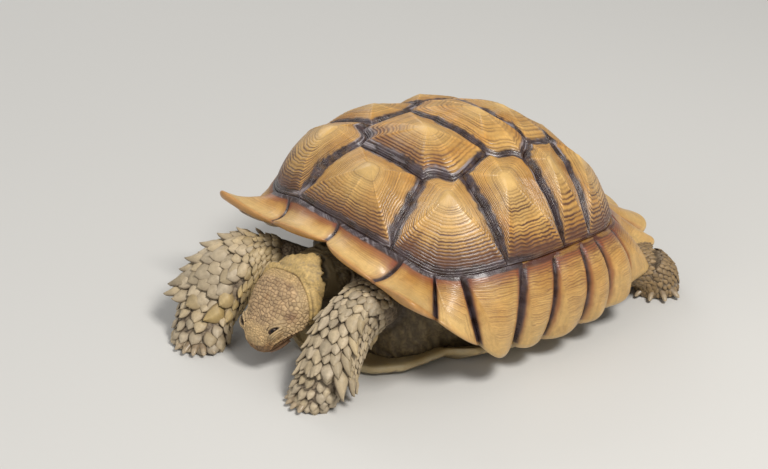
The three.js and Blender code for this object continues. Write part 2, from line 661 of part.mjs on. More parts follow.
// Sections of skull and jaw; `waist` is the height of a section's widest part.
const HEAD_SECTIONS = [
  { y: 12, wide: 42, waist: 5, top: 32, bottom: -27 },
  { y: -4, wide: 50, waist: 2, top: 36, bottom: -28 },
  { y: -24, wide: 54, waist: -2, top: 38, bottom: -24 },
  { y: -44, wide: 52, waist: -7, top: 36, bottom: -19 },
  { y: -60, wide: 47, waist: -7, top: 33, bottom: -16 },
  { y: -76, wide: 37, waist: -3, top: 29, bottom: -13 },
  { y: -88, wide: 30, waist: -1, top: 25, bottom: -12 },
  { y: -96, wide: 24, waist: -1, top: 19, bottom: -12.5 },
  { y: -101, wide: 16, waist: -3, top: 11, bottom: -13 },
];
const JAW_SECTIONS = [
  { y: -8, wide: 37, waist: -22, top: -15.3, bottom: -29 },
  { y: -24, wide: 40, waist: -22, top: -15.3, bottom: -31 },
  { y: -44, wide: 38, waist: -21, top: -13.3, bottom: -29 },
  { y: -60, wide: 33, waist: -19, top: -12.3, bottom: -27 },
  { y: -76, wide: 27, waist: -17, top: -11.5, bottom: -23 },
  { y: -88, wide: 20, waist: -16, top: -11.5, bottom: -20 },
  { y: -96, wide: 11, waist: -15, top: -12.5, bottom: -17 },
];
const EYE = { at: [28, -71.5, 18.5], radius: 9.3, facets: [10, 7] };
// The swelling of the lids and brow round each eye.
const BROW = { at: [29, -70, 17], size: [9.6, 15, 8.6], facets: [10, 6] };
const SKULL_ROUNDNESS = 2.3;
const JAW_ROUNDNESS = 2.6;
const HEAD_SIDES = 16;
const SNOUT_BLUNTNESS = 3;

function headLoft(sections, roundness, grow = 0) {
  const shell = new Shell();
  const rings = sections.map(({ y, wide, waist, top, bottom }, k) => {
    const end = k === 0 ? grow : k === sections.length - 1 ? -grow : 0;
    return shell.ring(Array.from({ length: HEAD_SIDES }, (_, i) => {
      const [c, s] = roundedTurn(2 * Math.PI * i / HEAD_SIDES, roundness);
      const height = (s > 0 ? top - waist : waist - bottom) + grow;
      return new THREE.Vector3(c * (wide + grow), y + end, waist + s * height);
    }));
  });
  rings.slice(1).forEach((ring, i) => shell.strip(rings[i], ring, true));
  const middle = ({ y, top, bottom }, step) => new THREE.Vector3(0, y + step, (top + bottom) / 2);
  shell.fan([...rings[0]].reverse(), middle(sections[0], grow));
  shell.fan(rings.at(-1), middle(sections.at(-1), -SNOUT_BLUNTNESS - grow));
  return shell.geometry();
}

// ---------------------------------------------------------------- assembly

const tortoise = new THREE.Group();
tortoise.name = 'sulcata_tortoise';

function add(name, geometry, finish, parent = tortoise) {
  const mesh = new THREE.Mesh(geometry, new THREE.MeshStandardMaterial({ ...finish, metalness: 0 }));
  mesh.name = name;
  parent.add(mesh);
}

VERTEBRAL.forEach(({ areola, corners }, i) => {
  add(`vertebral_${i + 1}`, shouldered(plate(vertebralOutline(corners), areola)), FINISH.plate);
});
COSTAL.forEach(({ areola, corners }, i) => {
  const left = plate(outline(corners), areola);
  add(`costal_left_${i + 1}`, left, FINISH.plate);
  add(`costal_right_${i + 1}`, shouldered(mirrored(left)), FINISH.plate);
});
MARGINAL.forEach((piece, i) => {
  const left = marginal(piece, i === 0 ? RIM_FRONT : MARGINAL[i - 1]);
  add(`marginal_left_${i + 1}`, left, FINISH.marginal);
  const right = mirrored(marginal({ ...piece, ...piece.right }, i === 0 ? RIM_FRONT : MARGINAL[i - 1]));
  add(`marginal_right_${i + 1}`, shouldered(right), FINISH.marginal);
});
add('supracaudal', marginal(SUPRACAUDAL, MARGINAL.at(-1)), FINISH.marginal);
add('plastron', plastronSolid(), FINISH.plastron);

const plastronSpace = plastronSolid(GAP);
const trunkSpace = trunkSolid(GAP);
add('trunk', less(trunkSolid(), plastronSpace), FINISH.skin);

// Everything below the floor, to keep the nails on it.
const underFloor = new THREE.BoxGeometry(1200, 1200, 60).translate(0, 0, -30);

// A leg and its foot: one loft parted at the ankle, cut back from what it grows out of.
function addLeg(place, leg, foot, { side, heading, nailCount, nailReach, nailSpread, neighbours = [] }) {
  const spaces = [trunkSpace, plastronSpace, ...neighbours];
  add(place.replace('foot', 'leg'), less(limb(leg, { side }), ...spaces), FINISH.skin);
  const claws = nails(nailCount, foot.at(-1).at, heading, nailReach, nailSpread);
  const whole = joined(limb(foot, { side, shift: GAP, blunt: [0, 0] }), ...claws);
  const upper = limb(leg, { side, grow: GAP, blunt: [0.3, 0] });
  add(place, less(whole, underFloor, upper, ...spaces), FINISH.scale);
}

const hindSide = [0.8, -0.6, 0];
const mirroredPlace = ([x, y, z]) => [-x, y, z];
const mirrorStations = (stations) => stations.map((s) => ({
  ...s, at: mirroredPlace(s.at), axis: s.axis && mirroredPlace(s.axis),
}));
const rearRims = [7, 8, 9, 10].map((i) => marginal(MARGINAL[i], MARGINAL[i - 1], 4 * GAP));
const hind = { nailCount: 4, nailReach: 34, nailSpread: 45 };
const neckSpace = limb(NECK, { side: NECK_SIDE, grow: GAP });
const fore = { nailCount: 5, neighbours: [neckSpace] };
addLeg('forefoot_left', FORELEG, FOREFOOT,
  { ...fore, side: [1, 0, 0], heading: -22, nailReach: 28, nailSpread: 42 });
addLeg('forefoot_right', FORELEG_RIGHT, FOREFOOT_RIGHT,
  { ...fore, side: RIGHT_SIDE, heading: 38, nailReach: 32, nailSpread: 42 });
addLeg('hindfoot_left', HINDLEG, HINDFOOT, { ...hind, side: hindSide, heading: 45, neighbours: rearRims });
addLeg('hindfoot_right', mirrorStations(HINDLEG), mirrorStations(HINDFOOT),
  { ...hind, side: mirroredPlace(hindSide), heading: -45, neighbours: rearRims.map(mirrored) });
add('tail', less(limb(TAIL, { blunt: [0.3, 1] }), trunkSpace, plastronSpace), FINISH.skin);

const headGroup = new THREE.Group();
headGroup.position.set(...HEAD.at);
headGroup.rotation.set(radians(HEAD.pitch), radians(HEAD.roll), radians(HEAD.yaw), 'ZXY');
tortoise.add(headGroup);
const skullLoft = (grow) => headLoft(HEAD_SECTIONS, SKULL_ROUNDNESS, grow);
const jawLoft = (grow) => headLoft(JAW_SECTIONS, JAW_ROUNDNESS, grow);
const aside = (geometry, side, [x, y, z]) => geometry.translate(side * x, y, z);
const eyeBall = (side, grow) => aside(
  new THREE.SphereGeometry(EYE.radius + grow, ...EYE.facets), side, EYE.at);
const brow = (side) => aside(
  new THREE.SphereGeometry(1, ...BROW.facets).scale(...BROW.size), side, BROW.at);
const skullWithBrows = joined(skullLoft(0), brow(1), brow(-1));
const skull = less(skullWithBrows, jawLoft(GAP), eyeBall(1, GAP), eyeBall(-1, GAP));
add('head', skull, FINISH.skin, headGroup);
add('lower_jaw', jawLoft(0), FINISH.horn, headGroup);
add('eye_left', toIndexed(eyeBall(1, 0)), FINISH.eye, headGroup);
add('eye_right', toIndexed(eyeBall(-1, 0)), FINISH.eye, headGroup);

headGroup.updateMatrixWorld();
const headSpaces = [skullLoft(GAP), jawLoft(GAP)].map((space) => space.applyMatrix4(headGroup.matrixWorld));
add('neck', less(limb(NECK, { side: NECK_SIDE }), trunkSpace, plastronSpace, ...headSpaces), FINISH.skin);

export default tortoise;
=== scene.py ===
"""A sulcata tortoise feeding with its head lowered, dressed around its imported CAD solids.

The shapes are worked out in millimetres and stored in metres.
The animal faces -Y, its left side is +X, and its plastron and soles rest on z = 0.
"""

import math
from itertools import product
from types import SimpleNamespace

import bmesh
import bpy
import numpy as np
from mathutils import Matrix, Vector


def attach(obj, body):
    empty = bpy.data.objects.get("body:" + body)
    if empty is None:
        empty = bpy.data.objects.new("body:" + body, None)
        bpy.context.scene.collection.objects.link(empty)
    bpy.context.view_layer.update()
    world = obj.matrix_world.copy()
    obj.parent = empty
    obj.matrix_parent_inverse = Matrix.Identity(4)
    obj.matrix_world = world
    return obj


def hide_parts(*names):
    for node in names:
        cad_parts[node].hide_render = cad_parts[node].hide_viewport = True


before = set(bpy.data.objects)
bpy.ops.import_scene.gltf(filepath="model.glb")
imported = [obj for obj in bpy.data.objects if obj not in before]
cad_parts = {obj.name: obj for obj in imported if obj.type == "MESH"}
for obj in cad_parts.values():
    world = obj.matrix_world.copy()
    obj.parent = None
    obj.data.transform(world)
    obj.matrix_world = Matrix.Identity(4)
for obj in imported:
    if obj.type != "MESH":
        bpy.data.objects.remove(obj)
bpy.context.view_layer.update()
MM = 0.001

# ---------------------------------------------------------------- camera

CAMERA = {
    "place": (2.02533, -1.88900, 1.68340), "azimuth": 48.898, "elevation": 29.728,
    "lens": 103.1, "sensor": 36, "clip": 50,
}


def make_camera():
    turn = math.radians(CAMERA["azimuth"])
    rise = math.radians(CAMERA["elevation"])
    back = Vector((math.sin(turn) * math.cos(rise), -math.cos(turn) * math.cos(rise), math.sin(rise)))
    right = Vector((math.cos(turn), math.sin(turn), 0))
    data = bpy.data.cameras.new("camera")
    data.lens = CAMERA["lens"]
    data.sensor_width = CAMERA["sensor"]
    data.clip_end = CAMERA["clip"]
    camera = bpy.data.objects.new("camera", data)
    facing = Matrix((right, back.cross(right), back)).transposed().to_4x4()
    camera.matrix_world = Matrix.Translation(CAMERA["place"]) @ facing
    bpy.context.scene.collection.objects.link(camera)
    bpy.context.scene.camera = camera


make_camera()

# ---------------------------------------------------------------- small helpers


def mix(a, b, t):
    return a + (b - a) * t


def clamp01(x):
    return np.clip(x, 0.0, 1.0)


def smooth(low, high, x):
    t = clamp01((x - low) / (high - low))
    return t * t * (3 - 2 * t)


def length_of(v):
    return np.linalg.norm(v, axis=-1)


def unit(v):
    return v / np.maximum(np.linalg.norm(v, axis=-1, keepdims=True), 1e-9)


def lump(x, centre, width):
    """One at the centre, fading to nought within two widths."""
    return np.exp(-((x - centre) / width) ** 2)


def tinted(tone, colour, share):
    """Colours (..., 3) mixed with another by a share (...)."""
    return mix(tone, colour, share[..., None])


def through(stops):
    """A smooth function through [x, value] stops."""
    xs = np.array([s[0] for s in stops], float)
    ys = np.array([s[1] for s in stops], float)
    before = np.maximum(np.arange(len(xs)) - 1, 0)
    after = np.minimum(np.arange(len(xs)) + 1, len(xs) - 1)
    slope = (ys[after] - ys[before]) / (xs[after] - xs[before])

    def at(x):
        x = np.asarray(x, float)
        i = np.searchsorted(xs[1:-1], x, side="left")
        h = xs[i + 1] - xs[i]
        t = clamp01((x - xs[i]) / h)
        return (ys[i] * (1 + 2 * t) * (1 - t) ** 2 + slope[i] * h * t * (1 - t) ** 2
                + ys[i + 1] * t * t * (3 - 2 * t) + slope[i + 1] * h * t * t * (t - 1))

    return at


def hashed(cell, seed):
    """A number from 0 to 1 for each whole-number cell."""
    c = cell.astype(np.int64)
    h = c[..., 0] * 374761393 + c[..., 1] * 668265263 + c[..., 2] * 1274126177 + seed * 2246822519
    h = (h ^ (h >> 13)) * 1274126177 & 0x7FFFFFFF
    h = (h ^ (h >> 15)) * 668265263 & 0x7FFFFFFF
    return ((h ^ (h >> 14)) & 0xFFFFFF) / 0xFFFFFF


def noise(p, seed=0):
    """Smooth noise from -1 to 1 at points p (..., 3), one cell to a unit."""
    base = np.floor(p)
    f = p - base
    f = f * f * (3 - 2 * f)
    total = 0.0
    for corner in product((0, 1), repeat=3):
        x, y, z = (f[..., k] if corner[k] else 1 - f[..., k] for k in range(3))
        total = total + x * y * z * hashed(base + corner, seed)
    return total * 2 - 1


def layered(p, seed=0, octaves=3):
    total, size = 0.0, 1.0
    for k in range(octaves):
        total = total + size * noise(p * 2.0 ** k, seed + 17 * k)
        size *= 0.5
    return total / (2 - 0.5 ** (octaves - 1))


def cells(p, seed=0, jitter=0.9):
    """Distance to the nearest and to the next cell centre, and the nearest cell's number from 0 to 1."""
    base = np.floor(p)
    first = np.full(p.shape[:-1], 9.0)
    second = np.full(p.shape[:-1], 9.0)
    mark = np.zeros(p.shape[:-1])
    for neighbour in product((-1, 0, 1), repeat=3):
        cell = base + neighbour
        shift = np.stack([hashed(cell, seed + k) for k in (1, 2, 3)], -1)
        d = length_of(cell + 0.5 + (shift - 0.5) * jitter - p)
        nearer = d < first
        second = np.where(nearer, first, np.minimum(second, d))
        mark = np.where(nearer, shift[..., 0], mark)
        first = np.where(nearer, d, first)
    return first, second, mark


def write_points(mesh, points):
    mesh.vertices.foreach_set("co", (np.asarray(points, float) * MM).astype(np.float32).ravel())


def paint(mesh, tone):
    rgba = np.concatenate([clamp01(tone), np.ones((len(tone), 1))], 1).astype(np.float32)
    mesh.attributes.new("tone", "FLOAT_COLOR", "POINT").data.foreach_set("color", rgba.ravel())


def add_object(name, data):
    item = bpy.data.objects.new(name, data)
    bpy.context.scene.collection.objects.link(item)
    return item


def make_mesh(name, points, faces, layers=None, colour=None):
    """An object from points in millimetres and a list of face arrays, each (n, corners)."""
    mesh = bpy.data.meshes.new(name)
    mesh.vertices.add(len(points))
    write_points(mesh, points)
    loops = np.concatenate([f.ravel() for f in faces])
    sizes = np.concatenate([np.full(len(f), f.shape[1]) for f in faces])
    starts = np.concatenate([[0], np.cumsum(sizes)[:-1]])
    mesh.loops.add(len(loops))
    mesh.loops.foreach_set("vertex_index", loops.astype(np.int32))
    mesh.polygons.add(len(sizes))
    mesh.polygons.foreach_set("loop_start", starts.astype(np.int32))
    mesh.update(calc_edges=True)
    mesh.validate()
    mesh.polygons.foreach_set("use_smooth", np.ones(len(mesh.polygons), bool))
    for key, values in (layers or {}).items():
        mesh.attributes.new(key, "FLOAT", "POINT").data.foreach_set("value", values.astype(np.float32))
    if colour is not None:
        paint(mesh, colour)
    return add_object(name, mesh)


def band(rows, columns, closed=False, start=0):
    """Quads of a grid of points stored row by row; rows run outward and columns counter-clockwise."""
    i = np.arange(rows - 1)[:, None]
    j = np.arange(columns if closed else columns - 1)[None, :]
    k = (j + 1) % columns
    quads = np.stack([i * columns + j, (i + 1) * columns + j, (i + 1) * columns + k, i * columns + k], -1)
    return quads.reshape(-1, 4) + start


# ---------------------------------------------------------------- the dome's surface

CENTRE_Y = 10.0
DOME = {
    "half_width": 212, "front_half": 217, "rear_half": 216, "crown": 283,
    "front_power": 2.8, "rear_power": 2.6, "profile_power": 2.05, "fullness": 0.53, "flattening": 0.3,
}
# Height of the dome's edge, and lean of the wall under it, by degrees from the front.
DOME_EDGE = [
    (0, 205), (25, 197), (42, 172), (55, 171), (67, 171), (80, 165), (108, 156), (135, 136), (180, 125),
]
WALL_LEAN = [(0, 52), (40, 55), (60, 34), (80, 22), (120, 24), (150, 38), (180, 45)]
dome_edge_height = through(DOME_EDGE)
wall_lean = through(WALL_LEAN)


def folded(degrees):
    """Degrees from the front, the same on both sides."""
    degrees = np.abs(degrees) % 360
    return np.minimum(degrees, 360 - degrees)


def dome_reach(degrees):
    """The dome's radius in plan by degrees from the front."""
    turn = np.radians(degrees)
    rear = np.cos(turn) < 0
    half = np.where(rear, DOME["rear_half"], DOME["front_half"])
    power = np.where(rear, DOME["rear_power"], DOME["front_power"])
    across = np.abs(np.sin(turn)) / DOME["half_width"]
    length = np.abs(np.cos(turn)) / half
    return (across ** power + length ** power) ** (-1 / power)


def in_plan(degrees, radius, height=0.0):
    turn = np.radians(degrees)
    height = np.broadcast_to(height, np.shape(turn))
    return np.stack([radius * np.sin(turn), CENTRE_Y - radius * np.cos(turn), height], -1)


def unflatten(m):
    """Share of the dome's radius by the share on its flat map, which draws the steep rim out."""
    c = DOME["flattening"]
    q = np.array(m, float)
    for _ in range(8):
        q = q - ((q + c * q ** 5) / (1 + c) - m) * (1 + c) / (1 + 5 * c * q ** 4)
    return q


def flat_of(x, y):
    """Place on the flat map of a place in plan."""
    degrees = math.degrees(math.atan2(x, CENTRE_Y - y))
    reach = float(dome_reach(degrees))
    q = math.hypot(x, y - CENTRE_Y) / reach
    m = (q + DOME["flattening"] * q ** 5) / (1 + DOME["flattening"]) * reach
    return np.array([m * math.sin(math.radians(degrees)), -m * math.cos(math.radians(degrees))])


def edge_flat(degrees):
    reach = dome_reach(degrees)
    return np.stack([reach * np.sin(np.radians(degrees)), -reach * np.cos(np.radians(degrees))], -1)


def dome_point(flat):
    degrees = np.degrees(np.arctan2(flat[..., 0], -flat[..., 1]))
    reach = dome_reach(degrees)
    q = np.minimum(unflatten(length_of(flat) / reach), 1.0)
    low = dome_edge_height(np.abs(degrees))
    rise = (1 - q ** DOME["profile_power"]) * (1 + DOME["fullness"] * q * q)
    return in_plan(degrees, q * reach, mix(low, DOME["crown"], rise))


def wall_normal(degrees):
    lean = np.radians(wall_lean(folded(degrees)))
    turn = np.radians(degrees)
    return np.stack([np.cos(lean) * np.sin(turn), -np.cos(lean) * np.cos(turn), np.sin(lean)], -1)


def dome_normal(flat):
    """Outward direction of the dome, turning into the marginals' wall at its edge."""
    inside = flat * 0.985
    dx = dome_point(inside + (0.5, 0)) - dome_point(inside - (0.5, 0))
    dy = dome_point(inside + (0, 0.5)) - dome_point(inside - (0, 0.5))
    normal = unit(np.cross(dx, dy))
    degrees = np.degrees(np.arctan2(flat[..., 0], -flat[..., 1]))
    share = smooth(0.93, 1.0, length_of(flat) / dome_reach(degrees))[..., None]
    return unit(mix(normal, wall_normal(degrees), share))


# The shell's right shoulder, which stands out and up further than its left one.
SHOULDER = {
    "out": 24.0, "out_turns": (22, 45, 58, 92), "out_radii": (130, 225),
    "up": 16.0, "up_turns": (25, 50, 75, 120), "up_radii": (95, 185), "up_kept": 0.4, "up_ease": (195, 240),
}


def plateau(x, stops):
    """Nought, rising to one between the first two stops and falling back between the last two."""
    start, full, ease, end = stops
    return smooth(start, full, x) * smooth(end, ease, x)


def shouldered(points):
    turn = np.degrees(np.arctan2(-points[..., 0], CENTRE_Y - points[..., 1]))
    radius = np.hypot(points[..., 0], points[..., 1] - CENTRE_Y)
    out = SHOULDER["out"] * plateau(turn, SHOULDER["out_turns"]) * smooth(*SHOULDER["out_radii"], radius)
    kept = mix(1.0, SHOULDER["up_kept"], smooth(*SHOULDER["up_ease"], radius))
    up = SHOULDER["up"] * plateau(turn, SHOULDER["up_turns"]) * smooth(*SHOULDER["up_radii"], radius) * kept
    return points + in_plan(-turn, out, up) - (0, CENTRE_Y, 0)


# ---------------------------------------------------------------- plates of the dome

CORNER = {
    "neck": 0, "v1c1": 25.5, "c1c2": 67, "c2c3": 95, "c3c4": 109, "c4v5": 149, "rump": 180,
    "v1v2": (67, -111), "v2c2": (97, -64), "v2v3": (84, -5), "v3c3": (113, 39), "v3v4": (89, 70),
    "v4c4": (86, 113), "v4v5": (72, 131),
}
VERTEBRAL = [
    ((0, -141), ("neck", "v1c1", "v1v2")), ((0, -41), ("v1v2", "v2c2", "v2v3")),
    ((0, 54), ("v2v3", "v3c3", "v3v4")), ((0, 101), ("v3v4", "v4c4", "v4v5")),
    ((0, 170), ("v4v5", "c4v5", "rump")),
]
COSTAL = [
    ((112, -104), ("v1c1", "c1c2", "v2c2", "v1v2")), ((132, -22), ("c1c2", "c2c3", "v3c3", "v2v3", "v2c2")),
    ((130, 64), ("c2c3", "c3c4", "v4c4", "v3v4", "v3c3")), ((116, 135), ("c3c4", "c4v5", "v4v5", "v4c4")),
]
# Seams that swing to one side and back, in millimetres.
SEAM_SWING = {("v1v2", "v2c2"): 5.0, ("v2v3", "v3c3"): -2.0, ("v1c1", "v1v2"): 2.0}

PLATE_THICKNESS = 9.0
AREOLA_LIFT = 11.0
SEAM_DROP = 5.0
SEAM_CREVICE = 1.6
SEAM_WOBBLE = 2.2
SEAM_GRAIN = 21.0
CREVICE_WIDTH = 3.2
RIDGE_LIFT = 0.9
RIDGE_WIDTH = 5.0
# Growth rings: their width, and their height where they show least and most.
RING = 3.3
VERTEBRAL_RING = 4.0
RING_LIFT = (0.28, 1.5)
COLUMN_STEP = 2.3
EDGE_PER_DEGREE = 3.8
UNDER_SHARES = np.array((1.0, 0.7, 0.35, 0.05))
RING_STEPS = (0.0, 0.13, 0.34, 0.62, 0.87)
AREOLA_SHARE = 0.13

PALE = np.array((0.66, 0.45, 0.18))
TAN = np.array((0.56, 0.33, 0.095))
AMBER = np.array((0.45, 0.215, 0.040))
RUST = np.array((0.16, 0.040, 0.012))
DARK = np.array((0.026, 0.011, 0.009))
SEAM_GREY = np.array((0.060, 0.040, 0.046))
# Light grey-lilac of the painted glints on the seams' ridges.
SEAM_GLINT_TONE = np.array((0.33, 0.29, 0.31))
RIM_ORANGE = np.array((0.42, 0.17, 0.030))


def corner_flat(name, side):
    place = CORNER[name]
    flat = flat_of(*place) if isinstance(place, tuple) else edge_flat(np.float64(place))
    return flat * (side, 1)


def on_edge(name):
    return not isinstance(CORNER[name], tuple)


def seam_points(a, b):
    """Points from corner a up to corner b; corners are (name, side)."""
    start, end = corner_flat(*a), corner_flat(*b)
    if on_edge(a[0]) and on_edge(b[0]):
        side = a[1] if a[0] not in ("neck", "rump") else b[1]
        turns = side * np.array([CORNER[a[0]], CORNER[b[0]]], float)
        count = max(3, int(abs(turns[1] - turns[0]) * EDGE_PER_DEGREE / COLUMN_STEP))
        return edge_flat(np.linspace(turns[0], turns[1], count, endpoint=False))
    count = max(3, int(np.linalg.norm(end - start) / COLUMN_STEP))
    s = np.linspace(0, 1, count, endpoint=False)[:, None]
    points = mix(start, end, s)
    forward = (a[0], b[0]) in SEAM_SWING
    swing = SEAM_SWING.get((a[0], b[0]), SEAM_SWING.get((b[0], a[0]), 0.0))
    along = (end - start) / np.linalg.norm(end - start) * (1 if forward else -1)
    across = np.array([-along[1], along[0]]) * a[1]
    share = s if forward else 1 - s
    points = points + across * swing * np.sin(2 * np.pi * share)
    spot = np.concatenate([points / SEAM_GRAIN, np.zeros_like(s)], 1)
    wobble = np.stack([noise(spot, 3), noise(spot, 5)], -1)
    return points + SEAM_WOBBLE * wobble * np.minimum(np.sin(np.pi * s) * 1.5, 1)


def plate_loop(names, vertebral, side):
    """A plate's outline, counter-clockwise, and where its corners are in it."""
    loop = [(n, 1 if vertebral else side) for n in names]
    if vertebral:
        loop += [(n, -1) for n in reversed(names) if n not in ("neck", "rump")]
    parts = [seam_points(a, loop[(i + 1) % len(loop)]) for i, a in enumerate(loop)]
    points = np.concatenate(parts)
    starts = np.cumsum([0] + [len(p) for p in parts[:-1]])
    x, y = points.T
    if np.sum(x * np.roll(y, -1) - np.roll(x, -1) * y) < 0:
        points = points[::-1]
        starts = len(points) - 1 - starts
    return points, starts


def ring_table(count, rng):
    """Shares of the way from the areola to the seam at which growth rings end."""
    usual = np.interp(np.linspace(0, 1, count), [0, 0.5, 0.8, 1], [0.8, 1.15, 1.1, 0.6])
    width = rng.uniform(0.65, 1.35, count) * usual
    stops = np.concatenate([[0], np.cumsum(width)])
    return AREOLA_SHARE + (1 - AREOLA_SHARE) * stops / stops[-1]


def smooth_loop(values, reach):
    """Values round a closed loop, evened out over `reach` neighbours to each side."""
    kernel = np.hanning(2 * reach + 3)[1:-1]
    kernel /= kernel.sum()
    padded = np.concatenate([values[-reach:], values, values[:reach]])
    return np.convolve(padded, kernel, "valid")


def ring_crest(part):
    """Height of a growth ring, from nought to one, by the part of it that is passed."""
    return np.sqrt(np.sin(np.pi * part) + 1e-9)


def ring_tint(growth, seed, kind):
    return noise(np.stack([np.floor(growth) * 3.1, 0 * growth, 0 * growth + seed], -1), kind)


def seam_tone(grey, seam_glint, lit, rusty):
    """Colour of a seam: dark and grey, with painted glints as light streaks, or rust and amber."""
    tone = tinted(DARK, SEAM_GREY, clamp01(0.5 + 1.3 * grey))
    return tinted(tinted(tone, SEAM_GLINT_TONE, seam_glint), tinted(RUST * 0.6, AMBER * 0.7, lit), rusty)


def measure_edge(p, outward, even):
    """Sets what is known of each spoke from the areola to the plate's edge."""
    p.spoke = p.outline - p.areola
    ahead = np.roll(p.outline, -1, axis=0)
    tangent = unit(ahead - np.roll(p.outline, 1, axis=0))
    p.height = smooth_loop(np.abs(p.spoke[:, 0] * tangent[:, 1] - p.spoke[:, 1] * tangent[:, 0]), 4)
    step = length_of(ahead - p.outline)
    p.arc = np.concatenate([[0], np.cumsum(step)[:-1]])
    p.length = step.sum()
    turn = 2 * np.pi * p.arc / p.length
    p.around = np.stack([np.cos(turn), np.sin(turn), 0 * turn], -1) * p.length
    # Rings show most towards the rim and least towards the crown.
    facing = np.sum(unit(p.spoke) * outward, axis=1)
    strength = 0.25 + 0.25 * np.abs(facing) if even else mix(0.16, 1.0, smooth(-0.35, 0.75, facing))
    p.strength = smooth_loop(strength, 8)
    normal = np.stack([tangent[:, 1], -tangent[:, 0]], -1)
    normal = normal * np.sign(np.sum(normal * p.spoke, axis=1))[:, None]
    p.low_edge = smooth_loop(smooth(0.35, 0.85, np.sum(normal * outward, axis=1)), 6)


def ring_grid(p, rings, rng):
    """Rows from the areola to the seam: share of the way there, ring number and ring depth."""
    fold = layered(p.around / 75 + p.seed, 11) * 0.030 + noise(p.around / 26 + p.seed, 12) * 0.007
    rows = [(s + 0 * fold, 0.0, 0.5) for s in np.linspace(0.02, AREOLA_SHARE, 5)[:-1]]
    for k in range(len(rings) - 1):
        own = noise(p.around / 18 + p.seed + 3.7 * k, 13) * 0.0065
        ring_depth = rng.uniform(0.55, 1.25)
        for f in RING_STEPS:
            share = mix(rings[k], rings[k + 1], f)
            ease = min(1, (1 - share) * 5) * share
            rows.append((share + (fold + own) * ease, k + f, ring_depth))
    rows.append((1 + 0 * fold, len(rings) - 1.0, 1.0))
    share, count, depth = (np.array(values) for values in zip(*rows))
    return share, count[:, None] + 0 * share, depth[:, None]


def corner_ridges(p, corners):
    """Low ridges from the areola to each corner of the plate."""
    ridge = np.zeros(len(p.arc))
    for corner in corners:
        away = np.abs(p.arc - p.arc[corner])
        ridge = ridge + lump(np.minimum(away, p.length - away), 0, RIDGE_WIDTH)
    return clamp01(ridge)[None] * smooth(0.1, 0.3, p.share) * smooth(1.0, 0.75, p.share)


def raise_rings(p, depth):
    """Sets the plate's points on the dome and its top surface."""
    rounded = p.spoke
    for _ in range(3):
        rounded = np.stack([smooth_loop(rounded[:, a], len(p.spoke) // 14) for a in (0, 1)], -1)
    spoke = tinted(rounded[None], p.spoke[None], smooth(0.1, 0.85, p.share))
    flat = p.areola + spoke * p.share[..., None]
    p.normal = dome_normal(flat)
    p.point = dome_point(flat)
    p.gap = (1 - p.share) * p.height[None]
    p.part = p.count - np.floor(p.count)
    p.ring_zone = smooth(AREOLA_SHARE * 0.9, AREOLA_SHARE * 1.6, p.share)
    p.outer = smooth(0.15, 0.9, p.share)
    relief = AREOLA_LIFT * np.maximum(1 - p.share, 0) ** 1.3 - SEAM_DROP * p.share ** 8
    relief = relief - SEAM_CREVICE * lump(p.gap, 0, CREVICE_WIDTH)
    relief = relief + RIDGE_LIFT * p.ridges
    amplitude = mix(*RING_LIFT, p.outer * p.strength[None]) * depth * p.ring_zone
    relief = relief + amplitude * (ring_crest(p.part) - 0.75)
    broad = layered(p.point / 55.0, 21) * 1.6 + layered(p.point / 17.0, 22) * 0.45
    relief = relief + broad * smooth(0, 12, p.gap)
    p.top = p.point + p.normal * relief[..., None]


def seam_width(p):
    """Half width of the dark seam, and how rusty it is: widest low down in front, rusty behind."""
    bearing = np.degrees(np.arctan2(np.abs(p.point[..., 0]), CENTRE_Y - p.point[..., 1]))
    width = mix(6.3, 9.5, p.low_edge)[None] + 2.8 * p.strength[None] * smooth(85, 55, bearing)
    width = width * (1 + 0.2 * noise(p.around / 30 + 5 * p.seed, 36))[None]
    rusty = smooth(72, 92, bearing) * p.low_edge[None] * (0.0 if p.vertebral else 1.0)
    return width * (1 - 0.25 * rusty), rusty


def dome_tone(p):
    """Pale areola (partly painted sky reflection), tan and amber rings, dark grooves and seams with painted
    glints; also how much of a seam each point is.
    """
    patch = layered(p.point / 30.0, 31)
    streak = noise(p.around / 7 + p.seed, 33)[None] + 0 * p.share
    fibre = noise(np.stack([streak * 2, p.count * 1.7, 0 * p.count], -1), 34)
    tone = tinted(TAN, AMBER, clamp01(0.25 + 0.9 * patch + 0.35 * p.outer))
    # Paler areola: partly the horn's own paler colour, partly painted sky reflection.
    tone = tinted(tone, PALE, clamp01(1.0 - p.share / 0.5) * 0.6)
    tone = tone * (1 + 0.16 * ring_tint(p.count, p.seed, 35) + 0.12 * fibre)[..., None]
    tone = tone * (1 + 0.16 * p.ridges)[..., None]
    width, rusty = seam_width(p)
    lower = smooth(4.4, 1.2, p.gap / width) * p.low_edge[None]
    groove = lump(np.minimum(p.part, 1 - p.part), 0, mix(0.24, 0.38, lower)) * p.ring_zone
    weight = p.ring_weight[np.round(p.count).astype(int)] * (0.85 + 0.5 * noise(p.point / 14.0, 41))
    strength = mix(0.55, 1.85, p.outer * p.strength[None]) * (0.6 if p.vertebral else 1.0)
    line = clamp01(groove * mix(weight, 1.2, lower) * strength)
    tone = tinted(tone, RUST * 1.5, lower ** 2 * 0.35)
    tone = tinted(tone, DARK * 1.1 + RUST * 0.3, line * 0.95)
    seam = clamp01(smooth(1.25, 0.7, p.gap / width) * (1 + 0.25 * noise(p.point / 2.6, 37)))
    stripe = np.stack([p.gap / 1.6, p.arc[None] / 26 + 0 * p.gap, 0 * p.gap + p.seed], -1)
    streaks = noise(stripe, 39)
    # Painted glints: light streaks along the seam, in patches.
    seam_glint = smooth(0.15, 0.6, streaks) * smooth(-0.1, 0.45, noise(p.point / 22.0, 40))
    lit = smooth(-0.2, 0.5, noise(stripe * (0.8, 1, 1), 42))
    band_tone = seam_tone(noise(p.point / 9.0, 38), 0.8 * (seam_glint * (1 - rusty)), lit, 0.8 * rusty)
    return tinted(tone, band_tone, seam), seam, 0.45 * streaks * seam


